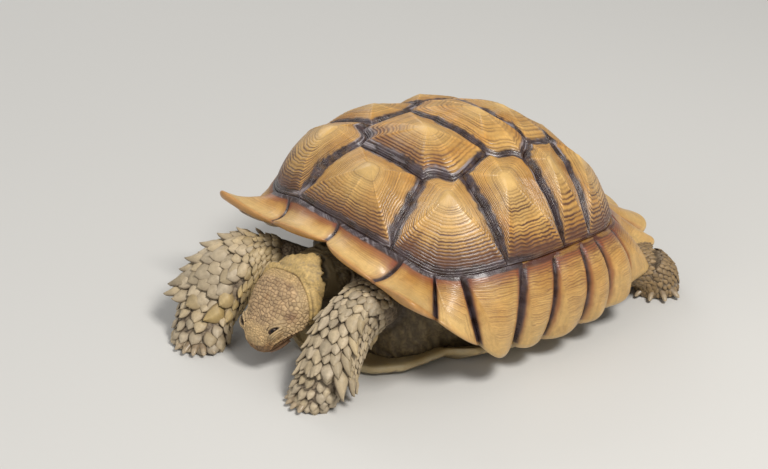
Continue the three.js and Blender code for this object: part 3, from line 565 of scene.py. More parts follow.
def dome_solid(p):
    """The plate's points and faces: its top, then the hidden underside with few rows."""
    under_flat = p.areola + p.spoke[None] * UNDER_SHARES[:, None, None]
    under = dome_point(under_flat) - dome_normal(under_flat) * PLATE_THICKNESS
    middles = [p.top[0].mean(0), under[-1].mean(0)]
    points = np.concatenate([p.top.reshape(-1, 3), under.reshape(-1, 3), middles])
    rows, columns = p.share.shape
    last = rows * columns
    tip = last + len(UNDER_SHARES) * columns
    j = np.arange(columns)
    k = (j + 1) % columns
    faces = [
        band(rows, columns, True),
        np.stack([last - columns + j, last + j, last + k, last - columns + k], -1),
        band(len(UNDER_SHARES), columns, True, last),
        np.stack([j, k, np.full(columns, tip)], -1),
        np.stack([tip - columns + k, tip - columns + j, np.full(columns, tip + 1)], -1),
    ]
    return points, faces


def dome_plate(name, areola_place, names, vertebral, side, seed):
    rng = np.random.default_rng(seed)
    p = SimpleNamespace(seed=seed, vertebral=vertebral)
    p.outline, corners = plate_loop(names, vertebral, side)
    p.areola = flat_of(*areola_place) * (side, 1)
    ahead = vertebral and areola_place[1] < 60
    outward = unit(p.areola + (0, -25) if ahead else p.areola + 1e-6)
    measure_edge(p, outward, vertebral and areola_place[1] > 0)
    reach = length_of(p.spoke).mean()
    rings = ring_table(int(round(reach / (VERTEBRAL_RING if vertebral else RING))), rng)
    p.ring_weight = rng.uniform(0.35, 1.3, len(rings) + 1)
    p.share, p.count, depth = ring_grid(p, rings, rng)
    p.ridges = corner_ridges(p, corners)
    raise_rings(p, depth)
    tone, seam, grain = dome_tone(p)
    p.top = p.top + p.normal * grain[..., None]
    points, faces = dome_solid(p)
    hidden = len(UNDER_SHARES) * len(p.outline)

    def layer(values, fill):
        return np.concatenate([values.ravel(), np.full(hidden, fill), [values[0].mean(), fill]])

    colour = np.concatenate([tone.reshape(-1, 3), np.tile(DARK, (hidden, 1)), [tone[0].mean(0), DARK]])
    layers = {"seam": layer(seam, 1.0), "growth": layer(p.count, 0.0)}
    return make_mesh(name, shouldered(points), faces, layers, colour)


# ---------------------------------------------------------------- marginal plates

RIM_FRONT = {"edge": 0, "rim": 0, "radius": 241, "height": 181}
# Each marginal: where its rear side meets the dome's edge and the rim, in degrees; the rim's radius
# and height there; how far its tip stands out and up; where the tip is between its sides.
MARGINAL_KEYS = ("edge", "rim", "radius", "height", "tip", "lift", "at")
MARGINAL_ROWS = [
    (30.5, 23.7, 272, 170, 9, 8, 0.45), (41, 42.7, 286, 133, 40, 32, 0.75),
    (49.8, 55.4, 269, 77, 6, 0, 0.4), (73.5, 67.8, 236, 48, 12, -8, 0.55),
    (89.2, 80.8, 227, 39, 6, -2, 0.5), (103.2, 97.2, 232, 41, 6, -2, 0.5),
    (112.1, 109.6, 242, 43, 7, -2, 0.5), (126.8, 122.9, 261, 51, 9, -2, 0.6),
    (140, 137.7, 277, 61, 13, -3, 0.75), (154, 150.2, 286, 72, 20, -3, 0.7),
    (168, 164, 288, 77, 18, -2, 0.4),
]
MARGINAL = [dict(zip(MARGINAL_KEYS, row)) for row in MARGINAL_ROWS]
RIGHT_FLARE = {"tip": 30, "lift": 34}
SUPRACAUDAL = {"edge": 192, "rim": 196, "tip": 8, "lift": -6, "at": 0.5}
RIM_REAR = {"rim": 180, "radius": 288, "height": 76}
MARGINAL_BOW = [(0, -7), (30, -12), (44, -10), (58, 8), (75, 17), (115, 17), (130, 8), (145, -5), (180, -8)]
MARGINAL_RISE = 8.0
RIM_THICKNESS = 13.0
RIM_START = 0.93
RIM_ROWS = 9
MARGINAL_UNDER_ROWS = 9

RIM_STOPS = [RIM_FRONT, *MARGINAL, RIM_REAR]
rim_radius = through([(s["rim"], s["radius"]) for s in RIM_STOPS])
rim_height = through([(s["rim"], s["height"]) for s in RIM_STOPS])
marginal_bow = through(MARGINAL_BOW)


def marginal_frame(piece, before, u):
    """Top and tip of a marginal's face by the share `u` across it, with the directions it faces."""
    edge = mix(before["edge"], piece["edge"], u)
    rim = mix(before["rim"], piece["rim"], u)
    stand = np.sin(np.pi * u ** (math.log(0.5) / math.log(piece["at"])))
    top = in_plan(edge, dome_reach(edge), dome_edge_height(folded(edge)))
    place = folded(rim)
    tip = in_plan(rim, rim_radius(place) + piece["tip"] * stand, rim_height(place) + piece["lift"] * stand)
    turn = np.radians(rim)
    across = np.stack([np.cos(turn), np.sin(turn), 0 * turn], -1)
    face = unit(np.cross(tip - top, across))
    return SimpleNamespace(top=top, tip=tip, face=face, wall=wall_normal(edge), bow=marginal_bow(place))


def marginal_base(f, v):
    """The plain surface (rows, columns, 3) under a marginal's relief, and its outward direction."""
    v = v[:, None, None]
    middle = mix(f.top, f.tip, 0.5) + f.face * 2 * f.bow[:, None]
    point = mix(mix(f.top[None], middle[None], v), mix(middle[None], f.tip[None], v), v)
    normal = unit(mix(f.wall[None], f.face[None], np.minimum(v * 2.5, 1)))
    return point, normal


def lines_at(x):
    """One at whole numbers and nearly nought between them."""
    return lump(x, np.round(x), 0.2)


def grow_marginal(p, rng):
    """Sets the L-shaped growth lines round an areola: level behind a crease, upright before it."""
    p.flare = smooth(60, 40, p.place) + smooth(135, 150, p.place)
    home = p.at if p.flare < 0.5 else 0.5
    spot = np.stack([p.u * p.wide / 14, p.v * p.long / 14, 0 * p.u + p.seed], -1)
    bend = 0.035 * layered(spot, 41)
    level = 1 - p.v + bend + 0.10 * np.abs(p.u - home) ** 2
    upright = (home - p.u) / home + bend
    rear = (p.u - home) / (1 - home) - 0.25 + bend
    share = np.maximum(np.maximum(level, upright), rear)
    rings = ring_table(int(max(p.long, 45) / RING), rng)
    weight = rng.uniform(0.3, 1.15, len(rings) + 1)
    p.growth = np.interp(share, rings, np.arange(len(rings)))
    p.part = p.growth - np.floor(p.growth)
    p.groove = lump(np.minimum(p.part, 1 - p.part), 0, 0.24) * weight[np.round(p.growth).astype(int)]
    p.ring_zone = smooth(AREOLA_SHARE, AREOLA_SHARE + 0.2, share) * smooth(0.0, 0.1, share)
    p.faint = np.where(upright > level, 0.35, 1.0) * mix(1.0, 0.35, p.flare)
    p.crease = lump(upright - level, 0, 0.05) * smooth(0.0, 0.15, p.v)


def marginal_relief(p):
    rise = MARGINAL_RISE * np.abs(np.sin(np.pi * p.u)) ** 0.6
    curve = np.sin(np.pi * np.minimum(p.v * 0.62 + 0.02, 1)) ** 0.8
    relief = rise * curve - SEAM_DROP
    side_groove = lump(p.edge_gap, 0, mix(4.2, 3.0, p.front)) * smooth(0.0, 0.1, p.v)
    relief = relief - mix(3.8, 1.8, p.front) * side_groove
    relief = relief + 0.55 * p.faint * p.ring_zone * (ring_crest(p.part) - 0.7)
    relief = relief + 0.8 * p.crease * (1 - p.flare)
    broad = 1.2 * layered(p.point / 40.0, 42 + p.seed) + 0.4 * layered(p.point / 12.0, 43)
    return relief + broad * smooth(0, 10, p.edge_gap)


def marginal_tone(p):
    """Colour of a marginal's face, and how much of a seam each point is."""
    patch = layered(p.point / 28.0, 51)
    tone = tinted(TAN, AMBER, clamp01(0.3 + 0.9 * patch + 0.3 * (1 - p.v)))
    tone = tinted(tone, PALE, smooth(0.2, 0.8, p.v) * mix(0.45, 0.75, p.front))
    tone = tinted(tone, RIM_ORANGE, smooth(0.82, 1.0, p.v + 0.06 * patch) * 0.6 * p.front)
    grain = 0.10 * ring_tint(p.growth, p.seed, 52) + 0.08 * noise(p.point / 3.0, 53)
    tone = tone * (1 + grain)[..., None]
    line = clamp01(p.groove * p.ring_zone * p.faint * mix(1.0, 0.45, p.v))
    tone = tinted(tone, DARK + RUST * 0.6, line * 0.8)

    ragged = 1 + 0.16 * noise(p.point / 9.0, 54)
    side_ragged = mix(1 + 0.12 * noise(p.point / 9.0, 59), ragged, p.front)
    back = smooth(66, 84, p.place)
    middle = smooth(40, 50, p.place) * smooth(92, 80, p.place)
    top_seam = smooth(8.5, 5.0, p.top_gap * ragged)
    swell = 2.2 * middle
    side_seam = smooth(mix(6.0, 4.8, p.front) + swell, 2.0 + swell, p.edge_gap * side_ragged)
    seam = clamp01(np.maximum(top_seam, side_seam))
    rust = smooth(24, 8, p.top_gap * ragged)
    # Brown fading in towards each side groove: partly the horn's rusty colour, partly painted shade in the
    # valley.
    side_rust_and_shade = smooth(12, 5, p.edge_gap * ragged) * mix(smooth(1.3, 0.6, p.v), 0.5, p.front)
    tone = tinted(tone, RUST * 1.5, clamp01(rust * 0.8 + side_rust_and_shade * 0.75))
    near_top = smooth(34, 12, p.top_gap * ragged) * (1 - 0.6 * p.front)
    fine_line = lines_at(p.top_gap / 3.4 + 0.5 * noise(p.point / 16, 58)) * near_top
    tone = tinted(tone, DARK + RUST * 0.35, 0.8 * fine_line)

    stripe = np.stack([p.top_gap / 1.8 + p.edge_gap / 1.8, p.point[..., 2] / 20, 0 * p.u + p.seed], -1)
    # Painted glints: light streaks along the top seam, more at the front.
    seam_glint = smooth(0.1, 0.6, noise(stripe, 56)) * smooth(-0.2, 0.4, noise(p.point / 20.0, 57))
    seam_glint = 0.7 * (1 - back) * (seam_glint * mix(0.35, 0.9, p.front) * top_seam)
    level = np.stack([p.top_gap / 1.9, p.u * p.wide / 22, 0 * p.u + p.seed], -1)
    lit = smooth(-0.3, 0.5, noise(level, 60))
    band_tone = seam_tone(noise(p.point / 8.0, 55), seam_glint, lit, back * mix(0.08, 0.85, top_seam))
    return tinted(tone, band_tone, seam), seam


def marginal_body(p, f, surface):
    """Rows of a marginal: its face, the rounded rim and a plain underside."""
    shares = np.linspace(RIM_START, 0.0, MARGINAL_UNDER_ROWS)
    under, under_normal = marginal_base(f, shares)
    under = under - under_normal * mix(PLATE_THICKNESS, RIM_THICKNESS, shares)[:, None, None]
    turns = np.linspace(0, np.pi, RIM_ROWS + 2)[1:-1][:, None, None]
    centre = (surface[-1] + under[0]) / 2
    half = (surface[-1] - under[0]) / 2
    out = f.tip - p.point[-1]
    rim = centre[None] + half[None] * np.cos(turns) + out[None] * np.sin(turns) * 1.05
    return np.concatenate([surface, rim, under])


def marginal_faces(face_rows, rows, columns):
    ring = np.arange(rows) * columns
    j = np.arange(columns - 1)
    faces = [band(rows, columns), np.stack([ring[-1] + j, j, j + 1, ring[-1] + j + 1], -1)]
    # End caps pair the face's rows with the underside's.
    face_stop = np.linspace(0, face_rows - 1, MARGINAL_UNDER_ROWS).astype(int)
    for column, turned in ((0, False), (columns - 1, True)):
        for k in range(MARGINAL_UNDER_ROWS - 1):
            top_rows = ring[face_stop[k]:face_stop[k + 1] + 1] + column
            low = ring[[rows - 1 - k, rows - 2 - k]] + column
            loop = np.concatenate([low, top_rows[::-1]])[None]
            faces.append(loop if turned else loop[:, ::-1])
        rim_rows = ring[face_rows - 1:face_rows + RIM_ROWS + 1] + column
        faces.append((rim_rows if turned else rim_rows[::-1])[None])
    return faces


def marginal_plate(name, piece, before, side, seed):
    rng = np.random.default_rng(seed)
    p = SimpleNamespace(seed=seed, at=piece["at"], place=float(folded(piece["rim"])))
    ends = marginal_frame(piece, before, np.array([0.0, 1.0])).tip
    p.wide = np.linalg.norm(ends[0] - ends[1])
    columns = max(26, int(p.wide / 1.7))
    u = 0.5 - 0.5 * np.cos(np.pi * np.linspace(0.012, 0.988, columns)) * 0.9985
    f = marginal_frame(piece, before, u)
    p.long = length_of(f.tip - f.top).max()
    face_rows = max(50, int(p.long))
    v = np.linspace(0, RIM_START, face_rows)
    p.point, normal = marginal_base(f, v)
    p.u, p.v = np.broadcast_arrays(u[None], v[:, None])
    p.edge_gap = np.minimum(p.u, 1 - p.u) * p.wide
    p.top_gap = p.v * p.long
    p.front = smooth(62, 50, p.place)
    grow_marginal(p, rng)
    body = marginal_body(p, f, p.point + normal * marginal_relief(p)[..., None])
    rows = len(body)

    tone, seam = marginal_tone(p)
    edge_tone = mix(PALE * 0.95, RIM_ORANGE, p.front)
    rim_tone = mix(tone[-1], edge_tone, 0.5)[None] * np.ones((RIM_ROWS, 1, 1))
    fade = clamp01(np.linspace(0, 1.4, MARGINAL_UNDER_ROWS))[:, None] * np.ones((1, columns))
    colour = np.concatenate([tone, rim_tone, tinted(PALE * 0.75, AMBER * 0.55, fade)]).reshape(-1, 3)

    def layer(values):
        return np.concatenate([values.ravel(), np.zeros((rows - face_rows) * columns)])

    faces = marginal_faces(face_rows, rows, columns)
    body = body.reshape(-1, 3)
    if side < 0:
        body = body * (-1, 1, 1)
        faces = [loops[:, ::-1] for loops in faces]
    return make_mesh(name, shouldered(body), faces, {"seam": layer(seam), "growth": layer(p.growth)}, colour)


# ---------------------------------------------------------------- materials


def new_material(name, **settings):
    """A material with its node tree and shader, whose inputs are set by name."""
    material = bpy.data.materials.new(name)
    material.use_nodes = True
    tree = material.node_tree
    shader = tree.nodes["Principled BSDF"]
    for key, value in settings.items():
        shader.inputs[key.replace("_", " ")].default_value = value
    return material, tree, shader


def node(tree, kind, inputs=None, **settings):
    item = tree.nodes.new(kind)
    for key, value in settings.items():
        setattr(item, key, value)
    for key, value in (inputs or {}).items():
        if isinstance(value, bpy.types.NodeSocket):
            tree.links.new(value, item.inputs[key])
        else:
            item.inputs[key].default_value = value
    return item


def attribute(tree, name, output="Fac"):
    return node(tree, "ShaderNodeAttribute", attribute_name=name).outputs[output]


def speckle(tree, place, scale, detail, roughness):
    inputs = {"Vector": place, "Scale": scale, "Detail": detail, "Roughness": roughness}
    return node(tree, "ShaderNodeTexNoise", inputs).outputs["Fac"]


def position(tree):
    return node(tree, "ShaderNodeNewGeometry").outputs["Position"]


def shade_tone(tree, shader, first, second):
    """Links the mesh's colours, darkened by two speckles, each (value, gain, base)."""
    shade = maths(tree, "MULTIPLY_ADD", *first)
    shade = maths(tree, "MULTIPLY", shade, maths(tree, "MULTIPLY_ADD", *second))
    tone = attribute(tree, "tone", "Color")
    colour = node(tree, "ShaderNodeVectorMath", {0: tone, 1: shade}, operation="MULTIPLY")
    tree.links.new(colour.outputs[0], shader.inputs["Base Color"])


def bump_by(tree, shader, height, strength, distance):
    bump = node(tree, "ShaderNodeBump", {"Height": height, "Strength": strength, "Distance": distance})
    tree.links.new(bump.outputs[0], shader.inputs["Normal"])


def maths(tree, operation, a, b=0.0, c=0.0, clamp=False):
    return node(tree, "ShaderNodeMath", {0: a, 1: b, 2: c}, operation=operation, use_clamp=clamp).outputs[0]


RING_WAVES = 18.85


def horn_material(name, gloss):
    """Horn with fine ripples along its growth rings; seams are rougher in form and smoother in gloss."""
    material, tree, shader = new_material(
        name, Specular_IOR_Level=0.55, Coat_Weight=0.35, Coat_Roughness=0.22)
    place = position(tree)
    seam = attribute(tree, "seam")
    fine = speckle(tree, place, 900.0, 4.0, 0.65)
    grime = speckle(tree, place, 60.0, 5.0, 0.6)
    shade_tone(tree, shader, (fine, 0.45, 0.775), (grime, 0.5, 0.75))
    rough = maths(tree, "MULTIPLY_ADD", grime, 0.34, gloss - 0.12)
    rough = maths(tree, "MULTIPLY_ADD", seam, -0.12, rough, clamp=True)
    tree.links.new(rough, shader.inputs["Roughness"])
    wave = maths(tree, "SINE", maths(tree, "MULTIPLY", attribute(tree, "growth"), RING_WAVES))
    height = maths(tree, "MULTIPLY_ADD", wave, 0.10, fine)
    ragged = speckle(tree, place, 420.0, 3.0, 0.7)
    ragged = maths(tree, "MULTIPLY", ragged, maths(tree, "MULTIPLY_ADD", seam, 1.2, 0.35))
    bump_by(tree, shader, maths(tree, "ADD", height, ragged), 0.55, 0.0006)
    return material


def finish_piece(item, material, slot, *nodes):
    item.data.materials.append(material)
    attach(item, "root")
    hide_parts(*nodes)


# ---------------------------------------------------------------- shell

plate_horn = horn_material("plate_horn", 0.36)
rim_horn = horn_material("rim_horn", 0.38)


def build_shell():
    for i, (areola, names) in enumerate(VERTEBRAL, 1):
        item = dome_plate(f"vertebral_{i}_horn", areola, names, True, 1, 9 + i)
        finish_piece(item, plate_horn, "carapace_plate", f"vertebral_{i}")
    for word, side in (("left", 1), ("right", -1)):
        own_seed = int(side < 0)
        for i, (areola, names) in enumerate(COSTAL, 1):
            label = f"costal_{word}_{i}"
            item = dome_plate(f"{label}_horn", areola, names, False, side, 90 + 10 * i + own_seed)
            finish_piece(item, plate_horn, "carapace_plate", label)
        for i, (before, piece) in enumerate(zip([RIM_FRONT, *MARGINAL], MARGINAL), 1):
            flared = {**piece, **RIGHT_FLARE} if side < 0 and i == 2 else piece
            label = f"marginal_{word}_{i}"
            item = marginal_plate(f"{label}_horn", flared, before, side, 190 + 10 * i + own_seed)
            finish_piece(item, rim_horn, "marginal_plate", label)
    item = marginal_plate("supracaudal_horn", SUPRACAUDAL, MARGINAL[-1], 1, 400)
    finish_piece(item, rim_horn, "marginal_plate", "supracaudal")


build_shell()

# ---------------------------------------------------------------- limbs, neck and tail as lofts

LIMB_ROUNDNESS = 2.3
SOLE = (0, 0, -1)
# Each station: centre, half width along the side hint, half depth across it, and the axis where it is set.
FORELEG_LEFT = [
    ((46, -152, 78), 38, 36), ((63, -190, 96), 42, 37), ((82, -225, 109), 43, 36),
    ((80, -252, 96), 42, 34), ((83, -278, 68), 43, 34), ((90, -303, 36), 46, 35),
]
FOREFOOT_LEFT = [
    ((87, -302, 42), 36, 31), ((88, -316, 25), 35, 31, (0, -0.35, -1)),
    ((87, -325, 9), 34, 31, SOLE), ((87, -326, 0), 31, 28, SOLE),
]
FORELEG_RIGHT = [
    ((-62, -156, 66), 38, 34), ((-92, -194, 79), 43, 36), ((-126, -230, 93), 46, 37),
    ((-146, -264, 91), 50, 37), ((-155, -298, 68), 52, 36), ((-158, -326, 37), 50, 34),
]
FOREFOOT_RIGHT = [
    ((-152, -322, 42), 41, 31), ((-143, -338, 26), 41, 32, (0.3, -0.45, -1)),
    ((-134, -350, 9), 41, 34, SOLE), ((-133, -351, 0), 38, 31, SOLE),
]
HINDLEG_LEFT = [
    ((96, 110, 72), 48, 40), ((124, 158, 70), 50, 40), ((158, 203, 51), 44, 36), ((180, 231, 43), 38, 34),
]
HINDFOOT_LEFT = [
    ((180, 231, 43), 38, 34), ((189, 242, 26), 36, 36, (0.3, 0.3, -1)),
    ((191, 245, 7), 35, 36, SOLE), ((191, 245, 0), 32, 33, SOLE),
]
TAIL = [((0, 176, 66), 30, 24), ((0, 218, 58), 25, 20), ((0, 252, 47), 17, 14), ((0, 280, 36), 8, 7)]
NECK = [
    ((-10, -150, 104), 52, 42), ((-20, -200, 114), 49, 38), ((-27, -238, 113), 44, 33),
    ((-34, -262, 103), 38, 30),
]
NECK_SIDE = (1, 0, 0.25)
RIGHT_SIDE = (0.88, 0.47, 0)
HIND_SIDE = (0.8, -0.6, 0)
ACROSS = np.array((-1.0, 1.0, 1.0))


def mirrored(stations):
    return [(tuple(ACROSS * s[0]), *s[1:3], *(tuple(ACROSS * a) for a in s[3:])) for s in stations]


def rounded_turn(degrees, roundness):
    turn = np.radians(degrees)
    c, s = np.cos(turn), np.sin(turn)
    size = (np.abs(c) ** roundness + np.abs(s) ** roundness) ** (-1 / roundness)
    return c * size, s * size


class Loft:
    """The surface through a limb's stations, by place along it in station numbers and turn in degrees."""

    def __init__(self, stations, side=(1, 0, 0)):
        at = np.array([s[0] for s in stations], float)
        last = len(at) - 1
        runs = [at[min(i + 1, last)] - at[max(i - 1, 0)] for i in range(len(at))]
        axes = unit(np.array([s[3] if len(s) > 3 else run for s, run in zip(stations, runs)], float))
        self.last = last
        self.side = np.array(side, float)
        self.start_run, self.end_run = at[1] - at[0], at[-1] - at[-2]
        self.centre = [through(list(enumerate(at[:, k]))) for k in range(3)]
        self.axis = [through(list(enumerate(axes[:, k]))) for k in range(3)]
        self.wide = through([(i, s[1]) for i, s in enumerate(stations)])
        self.deep = through([(i, s[2]) for i, s in enumerate(stations)])

    def middle(self, s):
        """The limb's middle line, which runs on straight beyond its ends."""
        after = np.maximum(s - self.last, 0)[..., None] * self.end_run
        before = np.minimum(s, 0)[..., None] * self.start_run
        return np.stack([f(s) for f in self.centre], -1) + (after + before)

    def point(self, s, turn, grow=0.0):
        s, turn, grow = np.broadcast_arrays(np.asarray(s, float), turn, grow)
        axis = unit(np.stack([f(s) for f in self.axis], -1))
        across = unit(self.side - axis * (axis @ self.side)[..., None])
        c, d = rounded_turn(turn, LIMB_ROUNDNESS)
        wide = (c * (self.wide(s) + grow))[..., None]
        deep = (d * (self.deep(s) + grow))[..., None]
        return self.middle(s) + across * wide + np.cross(axis, across) * deep

    def steps(self, s, turn):
        """Millimetres for one station number along, and for one degree round."""
        along = length_of(self.point(s + 0.02, turn) - self.point(s - 0.02, turn)) / 0.04
        return along, length_of(self.point(s, turn + 1) - self.point(s, turn - 1)) / 2


LEG = {
    "foreleg_left": Loft(FORELEG_LEFT), "foreleg_right": Loft(FORELEG_RIGHT, RIGHT_SIDE),
    "hindleg_left": Loft(HINDLEG_LEFT, HIND_SIDE),
    "hindleg_right": Loft(mirrored(HINDLEG_LEFT), ACROSS * HIND_SIDE),
}
FOOT = {
    "forefoot_left": Loft(FOREFOOT_LEFT), "forefoot_right": Loft(FOREFOOT_RIGHT, RIGHT_SIDE),
    "hindfoot_left": Loft(HINDFOOT_LEFT, HIND_SIDE),
    "hindfoot_right": Loft(mirrored(HINDFOOT_LEFT), ACROSS * HIND_SIDE),
}
tail_loft = Loft(TAIL)
neck_loft = Loft(NECK, NECK_SIDE)

# ---------------------------------------------------------------- head

# The head's own frame: nose towards -y, crown up, origin where the head meets the neck.
HEAD_AT = np.array((-35.5, -258, 102))
HEAD_PITCH, HEAD_YAW, HEAD_ROLL = 40, 10, -10
HEAD_TURN = np.array(
    Matrix.Rotation(math.radians(HEAD_YAW), 3, "Z") @ Matrix.Rotation(math.radians(HEAD_PITCH), 3, "X")
    @ Matrix.Rotation(math.radians(HEAD_ROLL), 3, "Y")
)
# Sections of skull and jaw: place, half width, height of the widest part, top and bottom.
SKULL = [
    (12, 42, 5, 32, -27), (-4, 50, 2, 36, -28), (-24, 54, -2, 38, -24), (-44, 52, -7, 36, -19),
    (-60, 47, -7, 33, -16), (-76, 37, -3, 29, -13), (-88, 30, -1, 25, -12), (-96, 24, -1, 19, -12.5),
    (-101, 16, -3, 11, -13),
]
JAW = [
    (-8, 37, -22, -15.3, -29), (-24, 40, -22, -15.3, -31), (-44, 38, -21, -13.3, -29),
    (-60, 33, -19, -12.3, -27), (-76, 27, -17, -11.5, -23), (-88, 20, -16, -11.5, -20),
    (-96, 11, -15, -12.5, -17),
]
SKULL_ROUNDNESS = 2.3
# The eye's place, and how far its ball lies towards the nose and inwards of it.
EYE = {"at": (28.0, -71.5, 18.5), "radius": 9.0, "ahead": 3.4, "sunk": 2.0}
BROW = {"at": (29.0, -70.0, 17.0), "size": (11.0, 16.4, 10.0)}


def to_head(points):
    return (points - HEAD_AT) @ HEAD_TURN


def from_head(points):
    return HEAD_AT + points @ HEAD_TURN.T


def head_rings(sections, rows, columns, grow=0.0):
    """Rings of a part of the head in its own frame, evenly spread from back to nose."""
    table = np.array(sections, float)
    place = np.linspace(-table[0, 0], -table[-1, 0], rows)
    wide, waist, top, bottom = (
        through(list(zip(-table[:, 0], table[:, k])))(place)[:, None] for k in (1, 2, 3, 4)
    )
    turn = np.arange(columns) * 360.0 / columns
    c, s = rounded_turn(turn, SKULL_ROUNDNESS)
    height = waist + np.where(s > 0, s * (top - waist + grow), s * (waist - bottom + grow))
    return np.stack([c * (wide + grow), np.broadcast_to(-place[:, None], height.shape), height], -1)


# ---------------------------------------------------------------- skin

COAT_DEPTH = 4.5
VOXEL = 0.0028


def tube(rings, nose=0.0):
    """A closed body from rings of points; its last end is rounded off by `nose`."""
    rows, columns = rings.shape[:2]
    first, last = rings[0].mean(0), rings[-1].mean(0)
    last = last + unit(last - rings[-2].mean(0)) * nose
    points = np.concatenate([rings.reshape(-1, 3), [first, last]])
    j = np.arange(columns)
    k = (j + 1) % columns
    last_ring = (rows - 1) * columns
    ends = [
        np.stack([np.full(columns, rows * columns), j, k], -1),
        np.stack([np.full(columns, rows * columns + 1), last_ring + k, last_ring + j], -1),
    ]
    return points, [band(rows, columns, True), *ends]


def gathered(bodies):
    """Several (points, faces) bodies as one."""
    points, faces, start = [], [], 0
    for body_points, body_faces in bodies:
        points.append(body_points)
        faces.extend(f + start for f in body_faces)
        start += len(body_points)
    return np.concatenate(points), faces


TRUNK_CLEARANCE = 4.5
TRUNK_DOME_ROWS = (0.12, 0.35, 0.55, 0.68, 0.8, 0.9, 1)
# Heights of the trunk's wall, each with its shares of the dome's reach by degrees from the front.
TRUNK_WALL = [
    (112, (
        (0, 0.86), (30, 0.86), (45, 0.84), (64, 0.96), (90, 1), (118, 0.97), (138, 0.86), (180, 0.9),
    )),
    (62, (
        (0, 0.98), (22, 0.97), (32, 0.9), (45, 0.8), (64, 0.92), (90, 0.97), (118, 0.93), (138, 0.84),
        (180, 0.92),
    )),
    (12, (
        (0, 1), (22, 0.98), (32, 0.88), (45, 0.72), (64, 0.76), (90, 0.78), (118, 0.76), (138, 0.76),
        (180, 0.9),
    )),
]
TRUNK_INSET = 1.0


def trunk_body():
    turns = np.arange(0, 360, 5.0)
    under = PLATE_THICKNESS + TRUNK_CLEARANCE
    rings = []
    for share in TRUNK_DOME_ROWS:
        flat = edge_flat(turns) * share
        normal = wall_normal(turns) if share == 1 else dome_normal(flat)
        rings.append(dome_point(flat) - normal * under)
    for height, shares in TRUNK_WALL:
        reach = dome_reach(turns) * through(shares)(folded(turns)) - TRUNK_INSET
        rings.append(in_plan(turns, reach, height))
    return tube(np.array(rings))


def limb_body(loft, inset, rows=8, columns=64, nose=0.0, foot=False):
    s = np.linspace(0, loft.last, loft.last * rows + 1)[:, None]
    turn = np.arange(columns) * 360.0 / columns
    rings = loft.point(s, turn[None, :], -inset)
    if foot:
        rings[-1, :, 2] = 0.0
    return tube(rings, nose)


def ball(at, size, rows=16, columns=24):
    tilt = np.linspace(0.05, math.pi - 0.05, rows)[:, None]
    turn = np.arange(columns)[None, :] * 2 * math.pi / columns
    shape = np.stack([np.sin(tilt) * np.cos(turn), np.sin(tilt) * np.sin(turn), np.cos(tilt) + 0 * turn], -1)
    return tube(np.array(at) + shape * np.array(size))


def in_world(body):
    return from_head(body[0]), body[1]


def ring_colours(tone):
    """Colours for the points of a tube, whose ends take the first and last ring's first."""
    return np.concatenate([tone.reshape(-1, 3), tone[0, :1], tone[-1, :1]])


def base_skin():
    """One closed surface round the trunk, limbs, neck, head and tail."""
    bodies = [trunk_body(), limb_body(neck_loft, 0.5), limb_body(tail_loft, 2.0, nose=5)]
    bodies += [limb_body(loft, COAT_DEPTH) for loft in LEG.values()]
    bodies += [limb_body(loft, COAT_DEPTH, foot=True) for loft in FOOT.values()]
    bodies.append(in_world(tube(head_rings(SKULL, 40, 64, -0.6), 3)))
    bodies.append(in_world(tube(head_rings(JAW, 30, 48, -0.4), 2)))
    for side in (1, -1):
        bodies.append(in_world(ball(np.array(BROW["at"]) * (side, 1, 1), BROW["size"])))
    rough = make_mesh("skin_base", *gathered(bodies))
    remesh = rough.modifiers.new("remesh", "REMESH")
    remesh.mode = "VOXEL"
    remesh.voxel_size = VOXEL
    mesh = bpy.data.meshes.new_from_object(rough.evaluated_get(bpy.context.evaluated_depsgraph_get()))
    old = rough.data
    bpy.data.objects.remove(rough)
    bpy.data.meshes.remove(old)
    return mesh


def read_vectors(items, key):
    values = np.empty(len(items) * 3, np.float32)
    items.foreach_get(key, values)
    return values.reshape(-1, 3).astype(float)


def read_points(mesh):
    return read_vectors(mesh.vertices, "co") / MM


def read_edges(mesh):
    edges = np.empty(len(mesh.edges) * 2, np.int32)
    mesh.edges.foreach_get("vertices", edges)
    return edges.reshape(-1, 2)


def relax(mesh):
    """Evens out the points of `mesh` along its edges, without shrinking it, and gives them."""
    points, edges = read_points(mesh), read_edges(mesh)
    ends = np.concatenate([edges[:, 0], edges[:, 1]])
    others = np.concatenate([edges[:, 1], edges[:, 0]])
    count = np.maximum(np.bincount(ends, minlength=len(points)), 1)
    for k in range(SKIN_ROUNDS):
        mean = np.stack([np.bincount(ends, points[others, a], len(points)) / count for a in range(3)], -1)
        points = points + (mean - points) * (0.6 if k % 2 == 0 else -0.5)
    write_points(mesh, points)
    return points


def refine(mesh, chosen):
    """Splits the edges of `mesh` between chosen points."""
    work = bmesh.new()
    work.from_mesh(mesh)
    edges = [e for e in work.edges if chosen[e.verts[0].index] and chosen[e.verts[1].index]]
    bmesh.ops.subdivide_edges(work, edges=edges, cuts=1, use_grid_fill=True)
    bmesh.ops.triangulate(work, faces=[f for f in work.faces if len(f.verts) > 4])
    work.to_mesh(mesh)
    work.free()
    mesh.update()


# Where the head ends at the fold of the neck: place along the head, by height.
head_crease = through([
    (-32, -50), (-20, -44), (-8, -37), (4, -24), (16, -10), (22, -3), (27, 3.5), (31, 8), (40, 11),
])
EYE_FACING = unit(np.array((0.678, -0.2, 0.708)))
EYE_ALONG = unit(np.array((0.517, 0.856, 0.016)))
EYE_ABOVE = np.cross(EYE_FACING, EYE_ALONG)
SLIT = {"half": 11.0, "open": 2.5, "depth": 5.0, "arch": 0.018, "above": 0.8, "shift": 3.5}
# Height of the mouth line by place along the head.
mouth_line = through([(-104, -5), (-96, -2), (-88, 2), (-78, 0.5), (-67, -2.5), (-54, -9), (-42, -17)])
MOUTH_END = -42
NOSTRIL = {"at": (5.5, -102, 9), "size": (1.5, 4, 1.3)}
HEAD_SCALE = 5.6
SNOUT_SCALE = 3.6

